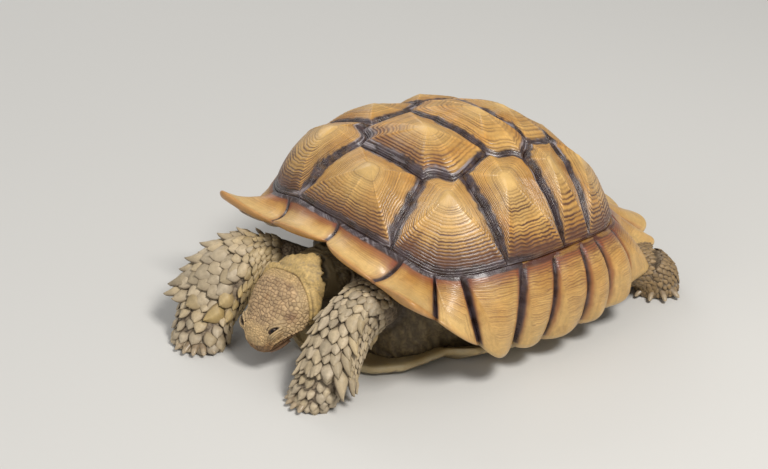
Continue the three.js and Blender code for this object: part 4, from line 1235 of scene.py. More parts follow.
CROWN_TONE = np.array((0.43, 0.29, 0.155))
SNOUT_TONE = np.array((0.58, 0.40, 0.195))
CHEEK_TONE = np.array((0.50, 0.36, 0.19))
TEMPLE_TONE = np.array((0.20, 0.095, 0.05))
BEAK_SKIN = np.array((0.26, 0.135, 0.052))
MOUTH_CRACK_SHADE = np.array((0.12, 0.045, 0.024))
HOOD_TONE = np.array((0.55, 0.38, 0.15))
# Neck and trunk skin: its own yellow-brown hue, darkened as painted shade under the shell.
NECK_SKIN_IN_SHADE_TONE = np.array((0.145, 0.105, 0.048))
LEG_TONE = np.array((0.27, 0.205, 0.135))
GROOVE_TONE = np.array((0.055, 0.034, 0.022))


def eye_detail(h):
    """Push of the lids round each eye, its painted shade in the slit and lid creases, and how near it is, for
    points in the head's frame.
    """
    q = h * np.stack([np.sign(h[:, 0]), np.ones(len(h)), np.ones(len(h))], -1) - EYE["at"]
    out, u, w = q @ EYE_FACING, q @ EYE_ALONG + SLIT["shift"], q @ EYE_ABOVE
    near = smooth(2, 6, out) * smooth(24, 13, length_of(q))
    w = w - SLIT["above"] + SLIT["arch"] * u * u
    gap = (np.sqrt((u / SLIT["half"]) ** 2 + (w / SLIT["open"]) ** 2) - 1) * SLIT["open"]
    crease = lump(gap, 3.4, 0.8)
    lower_crease = lump(gap, 6.2, 0.9) * smooth(1, -1, w)
    push = -SLIT["depth"] * smooth(0.35, -0.5, gap)
    push = push + 0.9 * lump(gap, 1.3, 0.9) + 0.5 * lump(gap, 4.9, 1.0)
    push = push - 0.8 * crease - 0.6 * lower_crease
    # Painted shade in the slit and in the lid creases.
    dark = smooth(1.0, -0.1, gap) + 0.35 * crease + 0.25 * lower_crease
    return push * near, clamp01(dark) * near, near


def scale_pattern(points, size, seed, groove=0.17, jitter=0.9):
    """Rounded many-sided scales: height from -1 in the grooves to 1, and each scale's number."""
    first, second, mark = cells(points / size, seed, jitter)
    edge = smooth(0.0, groove, second - first)
    return edge - 1 + 0.6 * edge * (1 - first), edge, mark


def head_chart(h):
    """Millimetres round the head and along it, gently warped."""
    chart = np.stack([np.arctan2(h[:, 2] + 6, h[:, 0]) * 42, h[:, 1], np.zeros(len(h))], -1)
    warp = np.stack([noise(h / 10, 5), noise(h / 10, 6), np.zeros(len(h))], -1) * 2.2
    return chart + warp


def flat_scales(chart, size, seed, groove):
    return scale_pattern(chart * (1, 1, 0) + (0, 0, size / 2), size, seed, groove, 0.72)


def head_zones(h):
    """How far each point belongs to the snout, beak, cheek, rear margin and temple."""
    x, y, z = np.abs(h[:, 0]), h[:, 1], h[:, 2]
    snout = smooth(-68, -80, y + 4 * noise(h / 7, 3)) * smooth(-4, 6, z)
    return SimpleNamespace(
        snout=snout,
        beak=smooth(-84, -92, y + 2 * noise(h / 5, 4)) * smooth(15, 9, z),
        cheek=smooth(30, 22, z) * (1 - snout) * smooth(-80, -70, y),
        margin=smooth(-20, -9, y - head_crease(z)) * smooth(4, 12, z),
        temple=lump(y, -47, 9) * lump(z, 17, 8) * smooth(30, 38, x),
    )


def head_tone(h, zone, mark, tiny_mark):
    tone = CROWN_TONE * (0.78 + 0.44 * mark)[:, None]
    tone = tinted(tone, SNOUT_TONE * (0.82 + 0.36 * mark)[:, None], zone.snout)
    tone = tinted(tone, HOOD_TONE, 0.45 * zone.margin)
    tone = tinted(tone, CHEEK_TONE * (0.85 + 0.3 * mark)[:, None], 0.7 * zone.cheek)
    tone = tinted(tone, BEAK_SKIN * 1.15, 0.5 * smooth(0.1, 0.7, layered(h / 13, 7)))
    tone = tone * (1 + 0.34 * layered(h / 6, 12))[:, None]
    tone = tinted(tone, TEMPLE_TONE, 0.7 * zone.temple)
    low_beak = smooth(12, -2, h[:, 2]) * zone.beak
    mottled = (0.4 + 1.2 * tiny_mark) * (1 - 0.45 * low_beak)
    return tinted(tone, BEAK_SKIN * mottled[:, None], 0.85 * zone.beak)


def with_mouth(h, push, tone):
    """Adds the mouth line with painted shade in its crack, the lips on both sides of it and the nostrils with
    painted shade in their pits.
    """
    below = h[:, 2] - mouth_line(h[:, 1]) - 0.6 * noise(h / 6, 10)
    lip = smooth(MOUTH_END, MOUTH_END - 6, h[:, 1])
    tone = tinted(tone, BEAK_SKIN * 0.85, 0.8 * smooth(0, -2, below) * lip)
    tone = tinted(tone, BEAK_SKIN, 0.5 * lump(below, 2.6, 2.0) * lip)
    # Painted shade in the crack between the jaws.
    tone = tinted(tone, MOUTH_CRACK_SHADE * 0.3, lump(below, 0, 1.4) * lip)
    push = push - 3.0 * lump(below, 0, 1.2) * lip + 1.0 * lump(below, 3.2, 1.6) * lip
    push = push - 1.6 * smooth(0, -2.5, below) * lip
    one_side = np.stack([np.abs(h[:, 0]), h[:, 1], h[:, 2]], -1)
    nostril = length_of((one_side - NOSTRIL["at"]) / NOSTRIL["size"])
    push = push - 2.0 * smooth(1.3, 0.5, nostril)
    # Painted shade in the nostril pits.
    return push, tinted(tone, GROOVE_TONE, smooth(1.6, 0.8, nostril))


def head_detail(h):
    """Push and colour of the head's scales, mouth, nostrils and lids."""
    chart = head_chart(h)
    small, small_edge, small_mark = flat_scales(chart, HEAD_SCALE, 31, 0.3)
    tiny, tiny_edge, tiny_mark = flat_scales(chart, SNOUT_SCALE, 41, 0.34)
    zone = head_zones(h)
    fine = np.maximum(np.maximum(zone.snout, zone.beak), zone.margin)
    edge = mix(small_edge, 0.35 + 0.65 * tiny_edge, fine)
    tone = head_tone(h, zone, mix(small_mark, tiny_mark, fine), tiny_mark)
    push = mix(small * 0.9, tiny * 0.7, fine) + 0.5 * noise(h / 9, 8)
    push, tone = with_mouth(h, push, tone)
    tone = tinted(tone, GROOVE_TONE * 2.0, 0.55 * (1 - edge))
    tone = tinted(tone, TEMPLE_TONE, 0.4 * smooth(0.25, 0.75, layered(h / 2.6, 9)))
    eye_push, eye_shade, eye_near = eye_detail(h)
    push = push * (1 - 0.75 * eye_near) + eye_push
    tone = tinted(tone, CHEEK_TONE * 0.9, 0.5 * eye_near)
    # Painted shade of the eye's slit and lid creases.
    return push, tinted(tone, GROOVE_TONE * 0.6, eye_shade)


HOOD_CORNER = (33, 50, 20)


def hood_detail(h):
    """The loose fold of skin behind the head, smooth and yellow, ending in a ragged edge, with painted shade
    in its creases and beyond its edge.
    """
    behind = h[:, 1] - head_crease(h[:, 2])
    corner = np.exp(-(length_of(h - HOOD_CORNER) / 15) ** 2)
    reach = 20 + 20 * smooth(-24, 0, h[:, 2]) + 20 * corner
    ragged = reach + 3.5 * noise(h / 11, 61) + 3.2 * noise(h / 4.5, 62) + 1.6 * noise(h / 1.9, 67)
    lines = np.sin(behind / 1.4 + 2 * noise(h / 12, 63)) * smooth(0.0, 0.6, noise(h / 8, 64))
    second = lump(behind, 7.5, 1.2) * smooth(8, 22, h[:, 0]) * smooth(22, 8, h[:, 2])
    push = -2.8 * lump(behind, 0, 1.5) - 1.4 * second
    push = push + 6.0 * smooth(0, 16, behind) * smooth(ragged + 1.2, ragged - 1.2, behind)
    push = push - 2.5 * lump(behind, ragged + 3, 2.5) + 0.22 * lines
    tone = HOOD_TONE * (0.94 + 0.26 * layered(h / 9, 65) + 0.28 * noise(h / 1.7, 68))[:, None]
    tone = tinted(tone, LEG_TONE, 0.55 * smooth(0.0, 0.6, layered(h / 3, 66)))
    # Painted shade in the crease behind the head and in the second crease.
    tone = tinted(tone, GROOVE_TONE, 0.85 * lump(behind, 0, 1.4) + 0.6 * second)
    share = smooth(ragged + 1.5, ragged - 0.5, behind)
    # Past the ragged edge: the neck's shaded skin, darker still as painted shadow just behind the edge.
    past_shade = np.broadcast_to(NECK_SKIN_IN_SHADE_TONE, h.shape) * (1 - 0.6 * lump(behind, ragged + 3, 3))[:, None]
    return push, tinted(past_shade, tone, share)


def fold_detail(points):
    """Creased, loose skin of the neck and of the hollows in front of and behind the limbs."""
    drift = np.stack([noise(points / 26, 71), noise(points / 26, 72), noise(points / 26, 73)], -1) * 14
    wave = np.sin((points[:, 1] + drift[:, 1] + 0.4 * points[:, 2] + drift[:, 0]) / 2.3)
    pebble, edge, mark = scale_pattern(points + drift * 0.2, 5.5, 75, 0.25)
    push = 1.1 * wave + 0.55 * pebble + 1.8 * noise(points / 19, 76)
    # Darker in the troughs of the folds as painted shade; dark joints between the pebbles.
    tone = NECK_SKIN_IN_SHADE_TONE * (0.85 + 0.3 * mark + 0.22 * wave)[:, None]
    return push, tinted(tone, GROOVE_TONE, 0.6 * (1 - edge))


def leg_detail(points):
    pebble, edge, mark = scale_pattern(points, 6.2, 81, 0.2)
    push = 0.9 * pebble + 0.8 * noise(points / 14, 82)
    tone = LEG_TONE * (0.75 + 0.45 * mark)[:, None]
    # Painted shade on the legs next to the shell, where they go under it.
    shoulder_shade = smooth(-206, -184, points[:, 1]) * smooth(0, -40, points[:, 1])
    tone = tone * (1 - 0.6 * shoulder_shade)[:, None]
    return push, tinted(tone, GROOVE_TONE, 0.85 * (1 - edge))


SKIN_ROUNDS = 10
HEAD_RADIUS = 66
HOOD_REACH = 66
HEAD_END = 14
# The front of the neck, where the skin is dense: before this y and round this x and z.
NECK_FRONT = {"before": -120, "middle": (-15, 110), "radius": 95}


def limb_share(points):
    """How far each point belongs to a leg or the tail rather than to the trunk and neck."""
    share = np.zeros(len(points))
    for loft in [*LEG.values(), *FOOT.values(), tail_loft]:
        s = np.linspace(0 if loft in FOOT.values() else 1.2, loft.last, 30)
        middle, wide = loft.middle(s), loft.wide(s)
        for k in range(len(s)):
            away = length_of(points - middle[k])
            share = np.maximum(share, smooth(wide[k] + 9, wide[k] - 2, away))
    return share


def beside_axis(h):
    """Distance from the line along the middle of the head."""
    return length_of(h[:, ::2])


def dense_skin():
    """The skin's mesh, denser on the front of the neck and densest on the head, and its points."""
    mesh = base_skin()
    points = relax(mesh)
    h = to_head(points)
    headward = (h[:, 1] < HOOD_REACH) & (beside_axis(h) < HEAD_RADIUS)
    from_neck = length_of(points[:, ::2] - NECK_FRONT["middle"])
    refine(mesh, headward | ((points[:, 1] < NECK_FRONT["before"]) & (from_neck < NECK_FRONT["radius"])))
    h = to_head(read_points(mesh))
    refine(mesh, (h[:, 1] < HEAD_END) & (beside_axis(h) < HEAD_RADIUS))
    points = relax(mesh)
    mesh.update()
    return mesh, points


def skin_detail(points):
    """Push and colour of the whole skin: folds, then limbs, hood and head over them."""
    h = to_head(points)
    share = limb_share(points)
    behind = h[:, 1] - head_crease(h[:, 2])
    hood = smooth(72, 64, behind) * smooth(72, 66, beside_axis(h)) * (1 - share)
    head = smooth(1.0, -1.0, behind) * smooth(62, 54, beside_axis(h))
    push, tone = fold_detail(points)
    for part, amount in ((leg_detail(points), share), (hood_detail(h), hood), (head_detail(h), head)):
        push, tone = mix(push, part[0], amount), tinted(tone, part[1], amount)
    return push, tone


def build_skin():
    mesh, points = dense_skin()
    push, tone = skin_detail(points)
    normals = read_vectors(mesh.vertex_normals, "vector")
    points = points + normals * (push * smooth(0, 5, points[:, 2]))[:, None]
    points[:, 2] = np.maximum(points[:, 2], 0.0)
    write_points(mesh, points)
    mesh.polygons.foreach_set("use_smooth", np.ones(len(mesh.polygons), bool))
    paint(mesh, tone)
    mesh.update()
    nodes = ["trunk", "neck", "head", "tail", *LEG, *FOOT]
    finish_piece(add_object("skin", mesh), skin_material("skin_hide", 0.62), "skin", *nodes)


def skin_material(name, rough):
    material, tree, shader = new_material(name, Roughness=rough)
    place = position(tree)
    fine = speckle(tree, place, 1100.0, 3.0, 0.6)
    blotch = speckle(tree, place, 90.0, 5.0, 0.65)
    shade_tone(tree, shader, (fine, 0.5, 0.75), (blotch, 0.7, 0.65))
    pore = node(tree, "ShaderNodeTexVoronoi", {"Vector": place, "Scale": 750.0})
    height = maths(tree, "MULTIPLY_ADD", pore.outputs["Distance"], -0.6, fine)
    bump_by(tree, shader, height, 0.5, 0.0005)
    return material


build_skin()

# ---------------------------------------------------------------- scales

SMALL_TILE = (6, 5)
SCALE_TONE = np.array((0.47, 0.385, 0.27))
SCALE_YELLOW = np.array((0.50, 0.36, 0.15))
# Painted shade at the scales' roots and sides.
SCALE_SHADE_TONE = np.array((0.12, 0.082, 0.052))
HIND_SHADE = np.array((0.68, 0.56, 0.40))
UV_PATCH = 0.003
SCALE_SUNK = 1.2
SCALE_FLOOR = 0.05


def tile_outline(a, point):
    """Half width of a scale from its root (0) to its tip (1); a larger `point` gives a rounder tip."""
    back = 1 - 0.3 * (clamp01((0.38 - a) / 0.38)) ** 2
    front = (1 - clamp01((a - 0.38) / 0.62) ** point) ** 0.85
    return np.maximum(np.where(a < 0.38, back, front), 0.05)


def tile_faces(rows, columns):
    """Faces of one scale, whose top grid comes before its under grid."""
    size = rows * columns
    grid = band(rows, columns)
    ring = np.concatenate([
        np.arange(columns), np.arange(1, rows) * columns + columns - 1,
        (rows - 1) * columns + np.arange(columns - 2, -1, -1), np.arange(rows - 2, 0, -1) * columns,
    ])
    after = np.roll(ring, -1)
    rim = np.stack([ring, after, after + size, ring + size], -1)
    return np.concatenate([grid[:, ::-1], grid + size, rim[:, ::-1]])


def tile_tone(a, b, yellow, seed, hind):
    """Colours of the scales, with growth rings, painted shade at their roots and sides, and a half-bright
    underside as painted shade.
    """
    rng = np.random.default_rng(seed)
    shade = rng.uniform(0.78, 1.16, (len(yellow), 1, 1, 1))
    rings = 0.5 + 0.5 * np.sin(np.maximum(np.abs(b) * 0.9, np.abs(a - 0.5) * 1.6) * 16)
    # Painted shade where each scale tucks under the one above, and along its sides.
    edge = clamp01(np.maximum(np.abs(b) ** 4, smooth(0.2, 0.0, a)))
    tone = tinted(SCALE_TONE, SCALE_YELLOW, yellow) * shade * (1 - 0.14 * rings[..., None])
    if hind:
        tone = tone * HIND_SHADE
    tone = tinted(tone, SCALE_SHADE_TONE, 0.75 * edge)
    # The underside takes the top's colour at half brightness as painted shade.
    return np.stack([tone, tone * 0.5], 1).reshape(-1, 3)


def unwrap(item, uv):
    layer = item.data.uv_layers.new(name="OFBake")
    index = np.empty(len(item.data.loops), np.int32)
    item.data.loops.foreach_get("vertex_index", index)
    layer.data.foreach_set("uv", uv[index].astype(np.float32).ravel())


def tiles(name, loft, spots, node_name, seed, rows=10, columns=9):
    """Overlapping solid scales over a limb. Each spot: place, turn, length, width, thickness, lift,
    swing of the tip in degrees, tip roundness and how yellow it is."""
    table = np.array(spots, float)
    s0, turn0, length, width, thick, lift, swing, point, yellow = (table[:, k, None, None] for k in range(9))
    a = np.linspace(0, 1, rows)[None, :, None]
    b = np.linspace(-1, 1, columns)[None, None, :]
    along = (a - 0.45) * length
    across = b * (tile_outline(a, point) * width / 2)
    turned = np.radians(swing)
    per_s, per_turn = loft.steps(s0, turn0)
    s = s0 + (along * np.cos(turned) - across * np.sin(turned)) / per_s
    turn = turn0 + (along * np.sin(turned) + across * np.cos(turned)) / per_turn
    crown = np.sqrt(clamp01(1 - 0.92 * b ** 2))
    rise = smooth(-0.1, 0.45, a)
    ridge = 0.22 * clamp01(1 - np.abs(b) * 2.2) * rise
    top = -COAT_DEPTH - SCALE_SUNK + thick * rise * (0.45 + 0.55 * crown + ridge) + 1.2 * rise + lift * a ** 2
    low = top - np.maximum(0.9, 0.45 * thick * (1 - 0.5 * a)) - 0.5 * (1 - a)
    points = np.stack([loft.point(s, turn, top), loft.point(s, turn, low)], 1).reshape(-1, 3)
    points[:, 2] = np.maximum(points[:, 2], SCALE_FLOOR)
    starts = np.arange(len(table))[:, None, None] * 2 * rows * columns
    faces = (tile_faces(rows, columns)[None] + starts).reshape(-1, 4)
    item = make_mesh(name, points, [faces], colour=tile_tone(a, b, yellow, seed, "hind" in name))
    u = 0.02 + 0.96 * ((turn0 % 360) / 360) + b * UV_PATCH / 2
    v = 0.02 + 0.96 * s0 / loft.last + (a - 0.5) * UV_PATCH
    uv = np.stack(np.broadcast_arrays(u, v), -1)
    unwrap(item, np.stack([uv, uv], 1).reshape(-1, 2))
    finish_piece(item, scale_hide, "scale", node_name)


def scale_rows(loft, seed, start, stop, pitch, width, zone, swing, thick, lift, point=2.0, yellow=0.15):
    """Spots in staggered rows down a limb, between two places along it and two turns round it."""
    rng = np.random.default_rng(seed)
    first, last = zone
    spots = []
    s, row = start, 0
    while s < stop:
        per_s, per_turn = (float(v) for v in loft.steps(s, (first + last) / 2))
        count = max(int(round((last - first) * per_turn / width)), 1)
        for k in range(count):
            share = (k + 0.5 + 0.5 * (row % 2) + rng.uniform(-0.2, 0.2)) / (count + 0.5)
            grow = 1 + rng.uniform(-0.2, 0.2)
            here = s + rng.uniform(-0.22, 0.22) * pitch / per_s
            hue = clamp01(yellow + rng.uniform(-0.15, 0.2))
            long = pitch * 1.6 * grow * (1 + rng.uniform(-0.1, 0.1))
            spots.append((here, mix(first, last, share), long, width * 1.14 * grow, thick * grow,
                          lift * grow, swing + rng.uniform(-9, 9), point, hue))
        s += pitch / per_s
        row += 1
    return spots


scale_hide = skin_material("scale_hide", 0.5)


def build_foreleg_right():
    loft = LEG["foreleg_right"]
    bumps = scale_rows(loft, 1, 1.85, 2.7, 11, 12.5, (-20, 112), 14, 3.8, 1.2, 2.5, yellow=0.5)
    inner = scale_rows(loft, 2, 2.6, 5.0, 12, 14, (-30, 46), 12, 4.0, 1.4, 2.3, yellow=0.7)
    upper = scale_rows(loft, 3, 2.55, 3.3, 14, 17, (46, 150), 20, 4.2, 2.2, 2.3, yellow=0.25)
    front = scale_rows(loft, 4, 3.3, 5.0, 17.5, 22, (46, 150), 22, 4.8, 2.6, 2.4, yellow=0.12)
    back = scale_rows(loft, 5, 1.9, 5.0, 9, 11, (165, 325), 0, 2.4, 0.8)
    edge = [
        (2.25, 124, 20, 13, 4.5, 4.0, 46, 1.6, 0.2), (2.62, 124, 26, 15, 5.0, 5.0, 46, 1.5, 0.2),
        (3.02, 128, 30, 17, 5.5, 6.0, 46, 1.5, 0.2), (3.42, 138, 36, 19, 6.0, 8.0, 48, 1.4, 0.2),
        (3.86, 136, 38, 22, 6.5, 8.0, 46, 1.4, 0.2), (4.22, 146, 30, 18, 5.5, 7.0, 44, 1.5, 0.2),
        (4.62, 142, 46, 25, 7.0, 9.0, 42, 1.4, 0.2), (5.02, 146, 34, 21, 6.5, 7.0, 38, 1.5, 0.3),
    ]
    wrist = [
        (4.84, 50, 38, 28, 8.5, 6.0, 36, 1.5, 1.0), (4.9, 92, 26, 26, 7.0, 3.5, 26, 2.6, 0.6),
        (4.2, 48, 27, 27, 6.0, 3.0, 24, 2.4, 0.8), (4.62, 24, 22, 21, 6.0, 3.0, 20, 2.2, 0.8),
        (5.04, 122, 24, 20, 5.5, 3.0, 30, 2.4, 0.2), (5.04, 74, 20, 19, 5.0, 2.5, 26, 2.4, 0.3),
    ]
    spots = bumps + inner + back + upper + front + edge + wrist
    tiles("foreleg_right_scales", loft, spots, "foreleg_right", 11)


def build_foreleg_left():
    loft = LEG["foreleg_left"]
    top = scale_rows(loft, 6, 1.9, 2.45, 10.5, 12.5, (20, 135), -10, 3.4, 1.4, 2.3)
    upper = scale_rows(loft, 7, 2.45, 3.1, 12.5, 14, (26, 140), -12, 3.8, 2.0, 2.2)
    front = scale_rows(loft, 8, 3.1, 5.0, 15.5, 17.5, (40, 145), -16, 4.6, 2.6, 2.2)
    outer = scale_rows(loft, 9, 2.4, 5.0, 8.5, 9, (-75, 28), -6, 2.6, 0.9, 2.4)
    back = scale_rows(loft, 10, 1.8, 5.0, 9, 11, (150, 280), 0, 2.4, 0.8)
    ridge = [
        (2.66, 46, 22, 13, 4.5, 3.0, -30, 1.5, 0.2), (3.0, 37, 29, 14.5, 6.0, 5.0, -32, 1.4, 0.45),
        (3.36, 36, 24, 14, 5.0, 3.5, -32, 1.5, 0.2), (3.7, 28, 31, 15, 6.0, 6.0, -30, 1.4, 0.45),
        (4.02, 34, 24, 14, 5.0, 3.5, -26, 1.5, 0.2), (4.4, 28, 35, 16, 6.5, 6.0, -24, 1.4, 0.3),
        (4.66, 44, 30, 17, 6.0, 4.0, -22, 1.5, 0.2),
    ]
    edge = [(3.3 + 0.42 * k, 138 - 4 * k, 26 + 2 * k, 15, 5.0, 4.5, 2, 1.5, 0.2) for k in range(5)]
    spikes = [
        (5.08, 26, 45, 21, 8.0, 3.0, -20, 1.35, 0.25), (5.0, -6, 30, 16, 6.0, 3.0, -22, 1.4, 0.2),
        (5.0, 56, 22, 18, 5.5, 2.5, -16, 1.9, 0.2), (5.0, 84, 22, 18, 5.5, 2.5, -10, 1.9, 0.2),
        (4.95, -34, 24, 14, 5.0, 3.0, -16, 1.5, 0.2), (2.95, -50, 28, 19, 6.5, 8.0, -58, 1.5, 0.7),
        (3.3, -44, 20, 15, 5.0, 5.0, -50, 1.6, 0.6),
    ]
    spots = top + outer + back + upper + front + edge + ridge + spikes
    tiles("foreleg_left_scales", loft, spots, "foreleg_left", 12)


def build_feet():
    rows = {
        "forefoot_right": (21, 0.25, 2.5, 11.5, 16.5, (0, 360), 12, 5.0, 1.4, 2.5, 0.15),
        "forefoot_left": (22, 0.3, 2.5, 10, 13.5, (0, 360), -6, 4.6, 1.4, 2.3, 0.12),
    }
    hind = (23, 0.15, 2.6, 7.0, 8.5, (0, 360), 0, 1.8, 0.4, 2.6, 0.1)
    for name, loft in FOOT.items():
        size = () if name in rows else SMALL_TILE
        tiles(f"{name}_scales", loft, scale_rows(loft, *rows.get(name, hind)), name, 24, *size)


def build_scales():
    build_foreleg_right()
    build_foreleg_left()
    for name in ("hindleg_left", "hindleg_right"):
        spots = scale_rows(LEG[name], 31, 1.3, 3.05, 6.8, 7.8, (0, 360), 0, 1.5, 0.3, 2.6, yellow=0.1)
        tiles(f"{name}_scales", LEG[name], spots, name, 33, *SMALL_TILE)
    spots = scale_rows(tail_loft, 34, 0.9, 2.9, 7.5, 8.5, (0, 360), 0, 2.4, 1.0)
    tiles("tail_scales", tail_loft, spots, "tail", 35, *SMALL_TILE)


build_feet()
build_scales()

# ---------------------------------------------------------------- claws, eyes and beak

CLAW = {
    "root": 7.5, "tip": 2.8, "length": 25.0, "slope": 0.35, "height": 10.5, "curl": 3.0,
    "flatness": 0.82, "floor": 0.2,
}
# Feet: middle of the sole, heading, reach of the claws, their number and spread.
FEET = {
    "forefoot_left": ((87, -326), -22, 27, 5, 42), "forefoot_right": ((-133, -351), 38, 31, 5, 42),
    "hindfoot_left": ((191, 245), 45, 33, 4, 45), "hindfoot_right": ((-191, 245), -45, 33, 4, 45),
}
CLAW_TONE = np.array((0.22, 0.155, 0.09))
CLAW_TIP_TONE = np.array((0.40, 0.31, 0.20))


def claw(middle, degrees, reach):
    """A claw's body and its colours; it points down and out from the sole's middle."""
    turn = math.radians(degrees)
    out = np.array((math.sin(turn), -math.cos(turn), 0))
    side = np.array((math.cos(turn), math.sin(turn), 0))
    t = np.linspace(0, 1, 12)[:, None]
    a = np.linspace(0, 2 * math.pi, 20, endpoint=False)[None, :]
    blunt = np.sqrt(np.maximum(1 - (np.maximum(t - 0.88, 0) / 0.125) ** 2, 0.02))
    size = mix(CLAW["root"], CLAW["tip"], t ** 0.9) * blunt
    along = (t - 0.5) * CLAW["length"]
    height = CLAW["height"] - along * CLAW["slope"] - CLAW["curl"] * (t ** 2 - t)
    height = height + size * CLAW["flatness"] * np.sin(a)
    rings = np.array((*middle, 0.0)) + out * (reach + along)[..., None] + side * (size * np.cos(a))[..., None]
    rings = rings + np.array((0, 0, 1)) * height[..., None]
    rings[..., 2] = np.maximum(rings[..., 2], CLAW["floor"])
    tone = tinted(CLAW_TONE, CLAW_TIP_TONE, smooth(0.45, 1.0, t) * np.ones((1, 20)))
    tone = tone * (1 + 0.16 * np.sin(t * 46))[..., None]
    return tube(rings), np.concatenate([tone.reshape(-1, 3), [CLAW_TONE, CLAW_TIP_TONE]])


def build_claws():
    material = horn_material("claw_horn", 0.45)
    for name, (middle, heading, reach, count, spread) in FEET.items():
        made = [claw(middle, heading + mix(-spread, spread, k / (count - 1)), reach) for k in range(count)]
        points, faces = gathered([body for body, _ in made])
        item = make_mesh(f"{name}_claws", points, faces, colour=np.concatenate([tone for _, tone in made]))
        finish_piece(item, material, "scale", name)


def eye_material():
    material, tree, shader = new_material("eye_wet", Roughness=0.4, Specular_IOR_Level=0.3)
    tree.links.new(attribute(tree, "tone", "Color"), shader.inputs["Base Color"])
    return material


PUPIL_TONE = np.array((0.006, 0.004, 0.003))
IRIS_TONE = np.array((0.045, 0.020, 0.009))
WHITE_TONE = np.array((0.04, 0.022, 0.013))


def build_eyes():
    material = eye_material()
    rows, columns = 40, 56
    tilt = np.linspace(0.02, math.pi - 0.02, rows)[:, None]
    turn = np.arange(columns)[None, :] * 2 * math.pi / columns
    iris = smooth(0.62, 0.56, tilt) * smooth(0.26, 0.30, tilt)
    tone = tinted(PUPIL_TONE, IRIS_TONE, iris)
    tone = tinted(tone, WHITE_TONE, smooth(0.60, 0.72, tilt)) * np.ones((1, columns, 1))
    for word, side in (("left", 1), ("right", -1)):
        facing = EYE_FACING * (side, 1, 1)
        along = EYE_ALONG * (side, 1, 1)
        above = np.cross(facing, along)
        shape = (np.cos(tilt)[..., None] * facing + (np.sin(tilt) * np.cos(turn))[..., None] * along
                 + (np.sin(tilt) * np.sin(turn))[..., None] * above)
        centre = np.array(EYE["at"]) * (side, 1, 1) - along * EYE["ahead"] - facing * EYE["sunk"]
        points, faces = tube(from_head(centre + shape * EYE["radius"]))
        item = make_mesh(f"eye_{word}_ball", points, faces, colour=ring_colours(tone))
        finish_piece(item, material, "eye", f"eye_{word}")


BEAK_TONE = np.array((0.15, 0.075, 0.036))
BEAK_EDGE_TONE = np.array((0.24, 0.13, 0.065))
BEAK_START = -70


def build_beak():
    rings = head_rings(JAW, 60, 72, 0.7)
    front = rings[rings[:, 0, 1] < BEAK_START]
    tone = tinted(BEAK_TONE, BEAK_EDGE_TONE, smooth(-24, -13, front[..., 2]))
    tone = tone * (1 + 0.2 * noise(front / 3.0, 91))[..., None]
    points, faces = tube(from_head(front + 0.25 * noise(front / 2.2, 92)[..., None]), 1.5)
    item = make_mesh("lower_beak", points, faces, colour=ring_colours(tone))
    finish_piece(item, horn_material("beak_horn", 0.5), "beak", "lower_jaw")


build_claws()
build_eyes()
build_beak()

# ---------------------------------------------------------------- plastron

PLASTRON = [
    (-258, 30, 6, 14), (-248, 62, 5, 40), (-225, 98, 5, 74), (-190, 122, 6, 92), (-150, 132, 9, 102),
    (-126, 140, 14, 106), (-106, 180, 26, 138), (-55, 200, 26, 156), (10, 205, 25, 160), (70, 202, 26, 156),
    (102, 184, 28, 136), (124, 136, 14, 98), (165, 124, 9, 88), (205, 98, 7, 66), (232, 58, 7, 32),
]
PLASTRON_THICKNESS = 13
PLASTRON_SEAMS = (-206, -150, -96, 62, 118, 178)
PLASTRON_STOPS = (0, 0.42, 0.56, 0.62, 0.68, 0.8, 1.0)
PLASTRON_TONE = np.array((0.42, 0.30, 0.13))
PLASTRON_WORN = np.array((0.50, 0.41, 0.24))
PLASTRON_SEAM = np.array((0.15, 0.09, 0.05))


def plastron_section(rows, columns):
    """Left half of the plastron: how far across (0 to 1), and places x, y and z of its grid."""
    table = np.array(PLASTRON, float)
    y = np.linspace(table[0, 0], table[-1, 0], rows)[:, None]
    wide, edge, flat = (np.interp(y, table[:, 0], table[:, k]) for k in (1, 2, 3))
    none = 0 * wide
    top = none + PLASTRON_THICKNESS
    corners_x = [none, flat, wide - 4, wide, wide - 5, flat - 6, none]
    corners_z = [none, none, edge, edge + 5, edge + 11, top, top]
    t = np.linspace(0, 1, columns)
    x, z = (np.stack([np.interp(t, PLASTRON_STOPS, [c[k, 0] for c in corners]) for k in range(rows)])
            for corners in (corners_x, corners_z))
    return t, x, y + none, z, wide


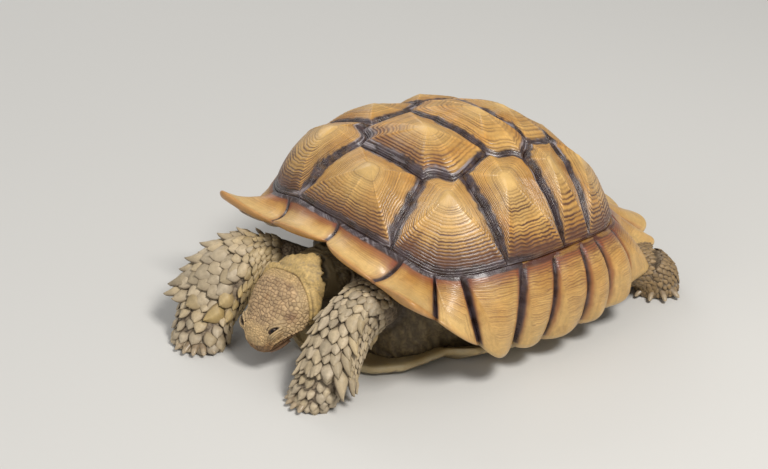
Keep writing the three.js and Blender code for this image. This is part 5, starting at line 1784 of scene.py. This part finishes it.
def build_plastron():
    t, x, y, z, wide = plastron_section(170, 44)
    below = smooth(0.64, 0.6, t)[None, :]
    swing = 6 * np.sin(x / 22) * (x > 0)
    nearest = np.full(x.shape, 99.0)
    for place in PLASTRON_SEAMS:
        nearest = np.minimum(nearest, np.abs(y + swing - place))
    seam = np.maximum(lump(x, 0, 1.4) * (t < 0.5)[None, :], lump(nearest, 0, 1.4)) * below
    spot = np.stack([x, y + 0 * x, z], -1)
    growth = 0.5 + 0.5 * np.sin(nearest / 1.5 + 1.5 * noise(spot / 25, 5))
    z = z + 1.1 * seam * smooth(0, 3, wide - x)
    left = np.stack([x, y + 0 * x, np.maximum(z, 0)], -1)
    right = left[:, ::-1] * (-1, 1, 1)
    points, faces = tube(np.concatenate([left[:, :-1], right[:, :-1]], 1))
    tone = tinted(PLASTRON_TONE, PLASTRON_WORN, smooth(-0.2, 0.6, layered(spot / 34, 8)))
    tone = tone * (1 - 0.16 * growth * below)[..., None]
    tone = tinted(tone, PLASTRON_SEAM, 0.8 * seam)
    tone = np.concatenate([tone[:, :-1], tone[:, ::-1][:, :-1]], 1)
    item = make_mesh("plastron_horn", points, faces, colour=ring_colours(tone))
    finish_piece(item, horn_material("belly_horn", 0.42), "plastron_plate", "plastron")


build_plastron()

# ---------------------------------------------------------------- floor and light


FLOOR_HALF = 6.0
FLOOR_TONE = (0.60, 0.595, 0.58, 1)
SKY_TONE = (0.93, 0.93, 0.92, 1)
SKY_STRENGTH = 0.36
LAMP_AIM = (0, 0, 0.12)
# Each lamp: name, place, size, power and colour.
LAMPS = [
    ("key", (1.95, -0.25, 2.9), (0.9, 0.9), 105, (1.0, 0.97, 0.92)),
    ("fill", (-0.6, -3.0, 1.8), (2.6, 1.8), 22, (1.0, 0.99, 0.97)),
    ("side", (-2.6, 0.6, 1.9), (1.8, 1.6), 18, (1.0, 0.99, 0.97)),
]


def build_stage():
    mesh = bpy.data.meshes.new("floor")
    corners = [(x * FLOOR_HALF, y * FLOOR_HALF, 0) for x, y in ((-1, -1), (1, -1), (1, 1), (-1, 1))]
    mesh.from_pydata(corners, [], [(0, 1, 2, 3)])
    floor = add_object("floor", mesh)
    material, _, shader = new_material("pale_floor", Roughness=0.85)
    shader.inputs["Base Color"].default_value = FLOOR_TONE
    floor.data.materials.append(material)


def add_area(name, place, size, power, colour):
    data = bpy.data.lights.new(name, "AREA")
    data.shape = "RECTANGLE"
    data.size, data.size_y = size
    data.energy = power
    data.color = colour
    lamp = add_object(name, data)
    lamp.location = place
    lamp.rotation_euler = (Vector(LAMP_AIM) - Vector(place)).to_track_quat("-Z", "Y").to_euler()


def build_light():
    bpy.context.scene.view_settings.view_transform = "Standard"
    for lamp in LAMPS:
        add_area(*lamp)
    world = bpy.data.worlds.new("studio")
    bpy.context.scene.world = world
    world.use_nodes = True
    sky = world.node_tree.nodes["Background"]
    sky.inputs["Color"].default_value = SKY_TONE
    sky.inputs["Strength"].default_value = SKY_STRENGTH


build_stage()
build_light()
